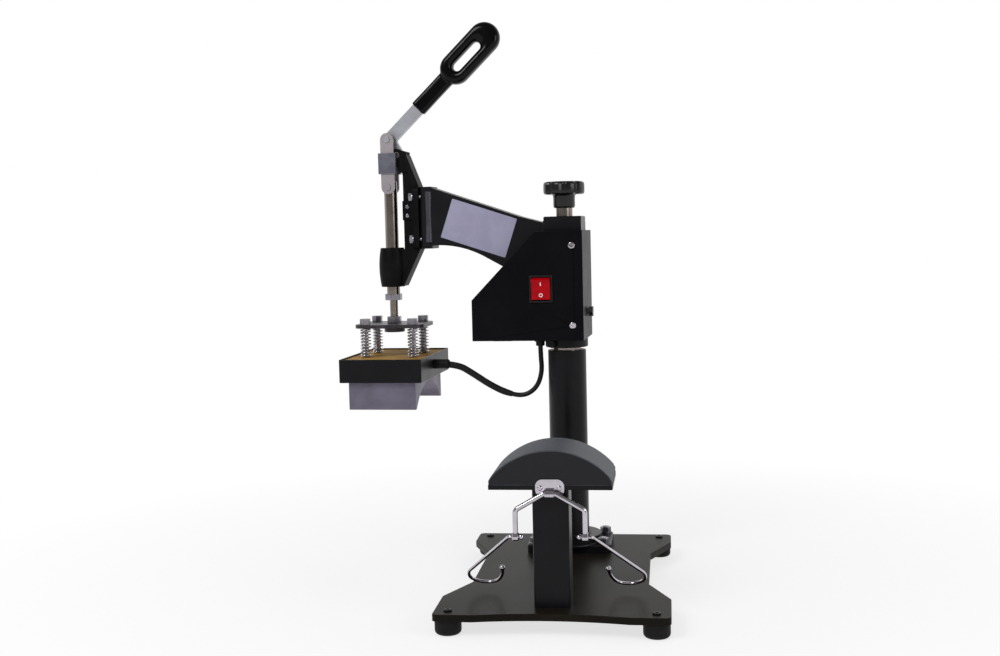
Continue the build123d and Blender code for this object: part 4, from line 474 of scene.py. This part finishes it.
rim_share = np.clip((knob_profile[:, 0] - 0.0205) / 0.006, 0, 1)[:, None]
knob_radius = knob_profile[:, :1] - HOLLOW_DEPTH * hollow[None, :] * rim_share
knob_points = np.stack([knob_radius * np.cos(turns), COLUMN_Y + knob_radius * np.sin(turns),
                        np.broadcast_to(knob_profile[:, 1:], knob_radius.shape)], axis=-1)
knob = make_mesh("hand_wheel", knob_points, grid_faces(len(knob_profile), KNOB_SIDES), phenolic, "knob")
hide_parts("pressure_knob")

# ---- Arm
# Folded and welded steel box, coated black, that rises from the sleeve and drops to the toggle.  Its end
# is closed by a heavy block with rounded corners.  A bare satin plate is stuck to its side.
dress(satin_black, "arm", 0.0008)
END_WELD_SIDE, END_WELD_OUT, END_WELD_LOW, END_WELD_LENGTH, ROOT_WELD_OUT = 17.0, 181.5, 443.5, 68, 25.6
share = np.linspace(0, 1, 60)
weld_radius = 0.0046 + 0.0004 * np.cos(share * TAU) + 0.0001 * np.cos(share * 14 * TAU)
for name, side in (("arm_end_weld_left", -END_WELD_SIDE), ("arm_end_weld_right", END_WELD_SIDE)):
    seam = swung(side, END_WELD_OUT, END_WELD_LOW + END_WELD_LENGTH * share)
    tube(name, seam, weld_radius, weld_painted_highlight, "head")
corner = np.array([(-18.7, 446), (-18.7, 464.5), (-16.5, 466.6), (16.5, 466.6), (18.7, 464.5), (18.7, 446)])
seam = np.concatenate([np.linspace(start, end, 24, endpoint=False) for start, end in zip(corner, corner[1:])]
                      + [corner[-1:]])
bead("arm_root_weld", swung(seam[:, 0], ROOT_WELD_OUT, seam[:, 1]), 0.0019, "head")
bare_plate = finish("satin_plate", (0.30, 0.29, 0.40), (0.26, 0.25, 0.35), patch=35, roughness=0.42,
                    spread=0.12, grain=260, stretch=(1, 1, 12), relief=0.000008, metallic=0.2,
                    Specular_IOR_Level=0.25)
dress(bare_plate, "rating_plate")

# ---- Toggle casting
# One iron casting, enamelled black: a flange on the end of the arm, a ribbed web with two ears for the
# lever, a stop block with two grub screws, and a barrel with a bronze bush.
cast_black = finish("enamelled_casting", (0.0038, 0.0038, 0.0042), (0.0062, 0.0062, 0.0070), patch=40,
                    roughness=0.42, spread=0.14, grain=420, relief=0.00012, Specular_IOR_Level=0.05)
dress(cast_black, "toggle_bracket", 0.0008)
dress(zinc, "bracket_bolts", 0.0003)


HEAD_SIDES = 48


def screw_head(name, centre, normal, radius, height, material, body):
    """A pan head turned about its axis: radius sin a and height cos a, with a cross cut by a dip."""
    centre, normal = np.array(centre, float), np.array(normal, float) / np.linalg.norm(normal)
    first = np.cross(normal, (0.0, 0.0, 1.0))
    first /= np.linalg.norm(first)
    second = np.cross(normal, first)
    share = np.linspace(0, 1, 15)
    angle = np.arange(HEAD_SIDES) * TAU / HEAD_SIDES
    radial = radius * np.sin(share * math.pi / 2)[:, None] * np.ones((1, HEAD_SIDES))
    dome = height * np.cos(share * math.pi / 2)[:, None] ** 0.6
    across = radial * np.cos(angle)
    upward = radial * np.sin(angle)
    wing = 0.17 * radius
    slot = np.minimum(np.abs(across), np.abs(upward)) < wing
    sunk = np.where(slot & (radial < 0.58 * radius), 0.45 * height, 0.0)
    rise = dome - sunk
    rings = np.concatenate([np.stack([across, upward, rise], axis=-1),
                            np.stack([across[-1:], upward[-1:], np.full((1, HEAD_SIDES), -0.0006)], axis=-1),
                            np.zeros((1, HEAD_SIDES, 3)) - (0, 0, 0.0006)])
    points = centre + rings[..., :1] * first + rings[..., 1:2] * second + rings[..., 2:] * normal
    return make_mesh(name, points, grid_faces(len(rings), HEAD_SIDES), material, body)


facing_front = swung(1, 0, 0) - swung(0, 0, 0)
for number, level in enumerate((480.0, 492.0)):
    screw_head(f"stop_screw_{number}", swung(10.0, 212.5, level), facing_front, 0.0029, 0.0017, zinc, "head")

# ---- Lever, link and plunger
# A flat plated bar with a dipped loop grip.  The link has two plates with a raised panel, and pulls a
# bright rod through the barrel.  A threaded stud and two nuts join the rod to the spider plate.
LINK_MIDDLE, PANEL_HALF, PANEL_FADE = 0.5508, 0.0134, 0.0010
bar_steel = finish("plated_bar", (0.42, 0.43, 0.46), (0.34, 0.34, 0.37), patch=40, roughness=0.33,
                   spread=0.06, grain=300, metallic=0.75, Specular_IOR_Level=0.3)
link_steel = finish("rolled_link", (0.17, 0.17, 0.21), (0.11, 0.11, 0.14), patch=45, roughness=0.36,
                    spread=0.08, grain=300, metallic=0.7, Specular_IOR_Level=0.3)
dress(bar_steel, "lever_bar")
dress(bar_steel, "knee_pin", 0.0004)
tree = link_steel.node_tree
shader = tree.nodes["Principled BSDF"]
panel_colour = shader.inputs["Base Color"].links[0].from_socket
coordinates = add(tree, "TexCoord")
on_link = add(tree, "SeparateXYZ", [(0, coordinates.outputs["Object"])])
from_middle = add(tree, "Math", [(0, on_link.outputs["Z"]), (1, LINK_MIDDLE)], operation="SUBTRACT")
from_middle = add(tree, "Math", [(0, from_middle.outputs[0])], operation="ABSOLUTE")
past_panel = add(tree, "MapRange", [("Value", from_middle.outputs[0]), ("From Min", PANEL_HALF),
                                    ("From Max", PANEL_HALF + PANEL_FADE)])
# Above and below the raised panel the link is coloured lighter.
lighter_link_ends = add(tree, "Mix", [(0, past_panel.outputs[0]), (6, panel_colour), (7, (0.34, 0.31, 0.33, 1))],
           data_type="RGBA")
tree.links.new(lighter_link_ends.outputs[2], shader.inputs["Base Color"])
dress(link_steel, "toggle_link", 0.0006)
dress(steel_and_painted_reflection, "plunger_rod", 0.0003)
dress(zinc, "plunger_nuts", 0.0004)
THREAD_SIDES = 32


def thread(name, middle, along, sidewise, radius, length, pitch, material, body):
    """A screw thread: radius less a triangle wave of (height / pitch - angle / turn), closed by a core."""
    turns = np.linspace(0, 1, THREAD_SIDES + 1)[:-1]
    height = np.arange(0, length + 1e-9, pitch / 6)
    wave = np.abs(((height[:, None] / pitch - turns[None, :]) % 1) - 0.5) * 2
    depth = 0.5 * pitch * np.minimum(1, wave)
    outside = radius + 0.00012 - depth
    inside = np.full_like(outside, radius * 0.55)
    rings = np.concatenate([outside, inside[::-1]])
    heights = np.concatenate([height, height[::-1]])[:, None]
    along, sidewise = np.array(along, float), np.array(sidewise, float)
    third = np.cross(along, sidewise)
    angle = turns[None, :] * TAU
    points = (np.array(middle) + heights[..., None] * along + (rings * np.cos(angle))[..., None] * sidewise
              + (rings * np.sin(angle))[..., None] * third)
    return make_mesh(name, points, grid_faces(len(rings), THREAD_SIDES, wrap_rows=True), material, body)


KNEE_OUT, KNEE_LEVEL, BAR_ANGLE = 238.0, 562.0 + 24.0 * math.sin(math.radians(60)), math.radians(136.0)
thread("stud_thread", swung(0, KNEE_OUT, 344.0), (0, 0, 1), (1, 0, 0), radius=0.0055, length=0.0208,
       pitch=0.0015, material=steel_and_painted_reflection, body="plunger")


def on_bar(along, across, off):
    """Points on the lever: along the bar from the knee, across its width, and off its face, in mm."""
    along, across, off = np.broadcast_arrays(along, across, off)
    out = KNEE_OUT + along * math.cos(BAR_ANGLE) - across * math.sin(BAR_ANGLE)
    height = KNEE_LEVEL + along * math.sin(BAR_ANGLE) + across * math.cos(BAR_ANGLE)
    return swung(off, out, height)


def rounded(angle, power):
    """A squarish ring, as signs of cosine and sine raised to 2 / power."""
    cosine, sine = np.cos(angle), np.sin(angle)
    return np.sign(cosine) * np.abs(cosine) ** (2 / power), np.sign(sine) * np.abs(sine) ** (2 / power)


GRIP_SIDES, LOOP_DEPTH = 40, 11.5
ring = np.arange(GRIP_SIDES) * TAU / GRIP_SIDES
wide, deep = rounded(ring, 4.5)
reach = np.array([58.0, 58.0, 58.5, 59.5, 62, 80, 100, 112, 122, 124, 124])
half_width = np.array([0, 10.0, 10.8, 11.0, 11.0, 10.8, 10.8, 10.9, 11.0, 10.0, 0.0])
half_depth = np.array([0, 6.0, 6.7, 7.0, 7.0, 6.9, 6.8, 6.9, 7.0, 6.0, 0.0])
neck_points = on_bar(reach[:, None], half_width[:, None] * wide, half_depth[:, None] * deep)


def long_ring(low, high, half):
    """Points round a slot: half circles of radius half about its two ends, and the straights between."""
    bow = np.linspace(-math.pi / 2, math.pi / 2, 40)
    straight = np.linspace(low + half, high - half, 24)[1:-1]
    edge = np.full(len(straight), half)
    return np.concatenate([
        np.stack([high - half + half * np.cos(bow), half * np.sin(bow)], axis=1),
        np.stack([straight[::-1], edge], axis=1),
        np.stack([low + half - half * np.cos(bow), -half * np.sin(bow)], axis=1),
        np.stack([straight, -edge], axis=1)])


loop_outside, loop_inside = long_ring(111.0, 209.0, 21.0), long_ring(130.0, 178.0, 6.0)
loop_middle, loop_half = (loop_outside + loop_inside) / 2, (loop_outside - loop_inside) / 2
wide, deep = rounded(ring, 2.6)
loop_plane = loop_middle[:, None] + loop_half[:, None] * wide[None, :, None]
loop_points = on_bar(loop_plane[..., 0], loop_plane[..., 1], (LOOP_DEPTH * deep)[None, :])
dipped = finish("dipped_vinyl", (0.0012, 0.0012, 0.0015), (0.002, 0.002, 0.0024), patch=30, roughness=0.15,
                spread=0.1, grain=300, relief=0.00005, Specular_IOR_Level=0.14)
grip_faces = (grid_faces(len(reach), GRIP_SIDES)
              + grid_faces(len(loop_middle), GRIP_SIDES, wrap_rows=True, first=len(reach) * GRIP_SIDES))
grip = make_mesh("loop_grip", np.concatenate([neck_points.reshape(-1, 3), loop_points.reshape(-1, 3)]),
                 grip_faces, dipped, "lever")
skin = grip.modifiers.new("skin", "REMESH")
skin.mode, skin.voxel_size, skin.use_smooth_shade = "VOXEL", 0.0009, True
settle = grip.modifiers.new("settle", "SMOOTH")
settle.factor, settle.iterations = 0.5, 8
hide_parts("handle_grip")

# ---- Spider, guide bolts and springs
# A pressed plate on the stud carries four bolts, each with a closed-end wire spring.
dark_steel = finish("blackened_plate", (0.055, 0.05, 0.055), (0.03, 0.028, 0.031), patch=60,
                    roughness=0.36, spread=0.1, grain=500, metallic=0.6, Specular_IOR_Level=0.3)
dress(dark_steel, "spider_plate", 0.0005)
dress(zinc, "guide_bolts", 0.0003)
spring_wire = finish("spring_wire", (0.62, 0.61, 0.63), (0.50, 0.48, 0.50), patch=90, roughness=0.2,
                     spread=0.1, grain=500, metallic=1.0)
SPRING_LOW, SPRING_HIGH, SPRING_RADIUS, WIRE_RADIUS, SPRING_TURNS = 289.8, 328.7, 6.6, 0.9, 10
BLEND_INSET, STEPS_A_TURN = 1.5, 28
turn = np.linspace(0, SPRING_TURNS, SPRING_TURNS * STEPS_A_TURN + 1)
free_pitch = (SPRING_HIGH - SPRING_LOW - 6 * WIRE_RADIUS) / (SPRING_TURNS - 2)
rise = np.interp(turn, [0, 1, SPRING_TURNS - 1, SPRING_TURNS],
                 [0, 2 * WIRE_RADIUS, 2 * WIRE_RADIUS + (SPRING_TURNS - 2) * free_pitch,
                  4 * WIRE_RADIUS + (SPRING_TURNS - 2) * free_pitch]) + SPRING_LOW + WIRE_RADIUS
for number, (side, out) in enumerate([(-30, 205), (30, 205), (-30, 271), (30, 271)]):
    coil = swung(side + SPRING_RADIUS * np.cos(turn * TAU), out + SPRING_RADIUS * np.sin(turn * TAU), rise)
    spring = tube(f"spring_{number}", coil, WIRE_RADIUS / 1000, spring_wire, None, sides=10)
    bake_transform(spring)
    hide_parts("pressure_springs")

# ---- Heated platen
# A cast aluminium block, milled to the curve of the pad, under a golden board of pressed fibre.  A black
# steel frame surrounds both.
board_gold = finish("pressed_fibre_board", (0.42, 0.24, 0.05), (0.24, 0.14, 0.03), patch=28,
                    roughness=0.72, spread=0.2, grain=160, stretch=(1, 5, 1), relief=0.00025, dust=0.02,
                    Specular_IOR_Level=0.2)
dress(board_gold, "insulation_board heating_element")
dress(satin_black, "platen_cover", 0.0005)
aluminium = finish("milled_aluminium", (0.17, 0.155, 0.21), (0.12, 0.105, 0.14), patch=16, roughness=0.46,
                   spread=0.2, grain=700, stretch=(1, 1, 8), relief=0.00003, metallic=0.6,
                   Specular_IOR_Level=0.3)
dress(aluminium, "heating_block", 0.0005)
dress(rubber, "platen_gland", 0.0004)

# ---- Control box
# Two folded covers in black textured coat meet over the sleeve.  The front one has the rocker switch and
# pan-head screws, and the back one the panel with its display and three keys.
box_black = finish("textured_black_coat", (0.0027, 0.0027, 0.0038), (0.004, 0.004, 0.0054), patch=18,
                   roughness=0.38, spread=0.16, grain=900, relief=0.00005, dust=0.006,
                   Specular_IOR_Level=0.05)
dress(box_black, "housing_front_cover housing_rear_cover", 0.0007)
dress(chrome, "housing_screws", 0.0002)
moulded = finish("moulded_black", (0.005, 0.005, 0.0055), (0.0075, 0.0075, 0.0085), patch=60,
                 roughness=0.4, spread=0.12, grain=1600, relief=0.00003, Specular_IOR_Level=0.2)
dress(moulded, "switch_bezel controller_body power_inlet head_gland", 0.0004)
lamp_red = finish("red_lamp_plastic", (0.40, 0.0006, 0.005), (0.30, 0.0004, 0.004), patch=90, roughness=0.26,
                  spread=0.08, grain=900, Specular_IOR_Level=0.08)
dress(lamp_red, "switch_rocker", 0.0006)
green_board = finish("green_circuit_board", (0.01, 0.09, 0.035), (0.008, 0.07, 0.03), patch=300,
                     roughness=0.35, grain=1400, relief=0.00003)
dress(green_board, "control_board")
window = finish("smoked_window", (0.012, 0.004, 0.005), patch=40, roughness=0.06, spread=0.03, grain=200,
                Coat_Weight=0.6, Coat_Roughness=0.03)
dress(window, "display_window", 0.0002)
key_grey = finish("grey_key", (0.42, 0.42, 0.43), (0.38, 0.38, 0.39), patch=80, roughness=0.45, grain=1500,
                  relief=0.00003)
dress(key_grey, "down_key set_key up_key", 0.0003)
print_white = finish("white_print", (0.78, 0.76, 0.74), patch=200, roughness=0.5, grain=1500)
PIVOT = (48.0, 26.0, 380.0)
TIP = math.radians(8.0)
HALF_SLOPE, ROCKER_PROUD = math.atan2(1.7, 13.04), 5.3
MARK_CENTRE, MARK_RELIEF, MARK_SIDES = 7.4, (-0.1, 0.12), 36


def on_rocker(across, along, proud, half):
    """Points on one half of the rocker's shallow V: along its face from the middle, and proud of it."""
    x = ROCKER_PROUD + along * math.sin(HALF_SLOPE) + proud * math.cos(HALF_SLOPE)
    z = half * (along * math.cos(HALF_SLOPE) - proud * math.sin(HALF_SLOPE))
    side = PIVOT[0] + x * math.cos(TIP) + z * math.sin(TIP)
    level = PIVOT[2] - x * math.sin(TIP) + z * math.cos(TIP)
    return swung(side, PIVOT[1] + across, level)


angle = np.arange(MARK_SIDES) * TAU / MARK_SIDES
low, high = MARK_RELIEF
for name, half, shape, outer, inner in (
        ("line_mark", 1, rounded(angle, 6), (0.55, 2.4), (0.0, 0.0)),
        ("ring_mark", -1, (np.cos(angle), np.sin(angle)), (2.5, 2.5), (1.7, 1.7))):
    layers = [on_rocker(shape[0] * size[0], MARK_CENTRE + shape[1] * size[1], proud, half)
              for size, proud in ((outer, low), (outer, high), (inner, high), (inner, low))]
    make_mesh(name, np.array(layers), grid_faces(len(layers), MARK_SIDES, wrap_rows=True), print_white,
              "rocker", smooth=False)

# ---- Cable finish
# The cable has a matt rubber jacket, and the sleeve over its hot end is black braided glass.
jacket = finish("rubber_jacket", (0.0035, 0.0035, 0.004), (0.006, 0.006, 0.0065), patch=60, roughness=0.36,
                spread=0.1, grain=1200, relief=0.00003, Specular_IOR_Level=0.25)
braid = finish("braided_glass", (0.0045, 0.0045, 0.0048), (0.008, 0.008, 0.0085), patch=120, roughness=0.6,
               spread=0.1, grain=1600, relief=0.00012, Specular_IOR_Level=0.2)
cable.data.materials.append(jacket)
sleeve.data.materials.append(braid)

# ---- Floor and light
# A plain white floor that fades into a white surround, one large soft lamp from the upper left, a weaker
# one from the right, and an even fill.


def seen_directly(tree, path, *more):
    """One where a ray comes from the camera or from any of the other named kinds, else nought."""
    seen = path.outputs["Is Camera Ray"]
    for kind in more:
        seen = add(tree, "Math", [(0, seen), (1, path.outputs[kind])], operation="MAXIMUM").outputs[0]
    return seen


floor_mesh = bpy.data.meshes.new("floor")
FLOOR_HALF, FLOOR_LEVEL = 9, -0.0004
floor_corners = [(FLOOR_HALF * x, FLOOR_HALF * y, FLOOR_LEVEL)
                 for x, y in ((-1, -1), (1, -1), (1, 1), (-1, 1))]
floor_mesh.from_pydata(floor_corners, [], [(0, 1, 2, 3)])
floor = bpy.data.objects.new("floor", floor_mesh)
scene.collection.objects.link(floor)
pale = bpy.data.materials.new("pale_floor")
pale.use_nodes = True
tree = pale.node_tree
tree.nodes.clear()
plain = add(tree, "BsdfDiffuse", [("Color", (0.86, 0.86, 0.86, 1))])
white = add(tree, "Emission", [("Color", (1, 1, 1, 1)), ("Strength", 1.0)])
path = add(tree, "LightPath")
seen = seen_directly(tree, path, "Is Glossy Ray", "Is Transmission Ray")
spot = add(tree, "TexCoord")
far = add(tree, "VectorMath", [(0, spot.outputs["Object"])], operation="LENGTH")
fade = add(tree, "MapRange", [("Value", far.outputs["Value"]), ("From Min", 0.3), ("From Max", 0.95),
                              ("To Min", 0.72), ("To Max", 1.0)])
share = add(tree, "Math", [(0, seen), (1, fade.outputs[0])], operation="MULTIPLY")
blend = add(tree, "MixShader", [(0, share.outputs[0]), (1, plain.outputs[0]), (2, white.outputs[0])])
add(tree, "OutputMaterial", [(0, blend.outputs[0])])
floor_mesh.materials.append(pale)

world = bpy.data.worlds.new("surround")
scene.world = world
world.use_nodes = True
tree = world.node_tree
tree.nodes.clear()
path = add(tree, "LightPath")
seen = seen_directly(tree, path, "Is Glossy Ray", "Is Transmission Ray")
level = add(tree, "MapRange", [("Value", seen), ("To Min", 0.55), ("To Max", 1.0)])
heading = add(tree, "TexCoord")
toward = add(tree, "VectorMath", [(0, heading.outputs["Generated"]), (1, (0.0, 0.86, -0.50))],
             operation="DOT_PRODUCT")
studio = add(tree, "MapRange", [("Value", toward.outputs["Value"]), ("From Min", -0.55), ("From Max", 0.25),
                                ("To Min", 0.22), ("To Max", 1.0)], interpolation_type="SMOOTHSTEP")
mirrored = add(tree, "Mix", [(0, path.outputs["Is Glossy Ray"]), (2, 1.0), (3, studio.outputs[0])],
               data_type="FLOAT")
level = add(tree, "Math", [(0, level.outputs[0]), (1, mirrored.outputs[0])], operation="MULTIPLY")
sky = add(tree, "Background", [("Color", (1, 1, 1, 1)), ("Strength", level.outputs[0])])
add(tree, "OutputWorld", [(0, sky.outputs[0])])
AIM = Vector((-0.05, 0.0, 0.35))
for name, place, size, power in (("key_lamp", (-1.1, -1.5, 1.7), 0.9, 26.0),
                                 ("side_lamp", (1.5, -0.9, 0.9), 0.7, 8.0)):
    light = bpy.data.lights.new(name, "AREA")
    light.size, light.energy = size, power
    lamp = bpy.data.objects.new(name, light)
    lamp.location = place
    lamp.rotation_euler = (AIM - lamp.location).to_track_quat("-Z", "Y").to_euler()
    scene.collection.objects.link(lamp)
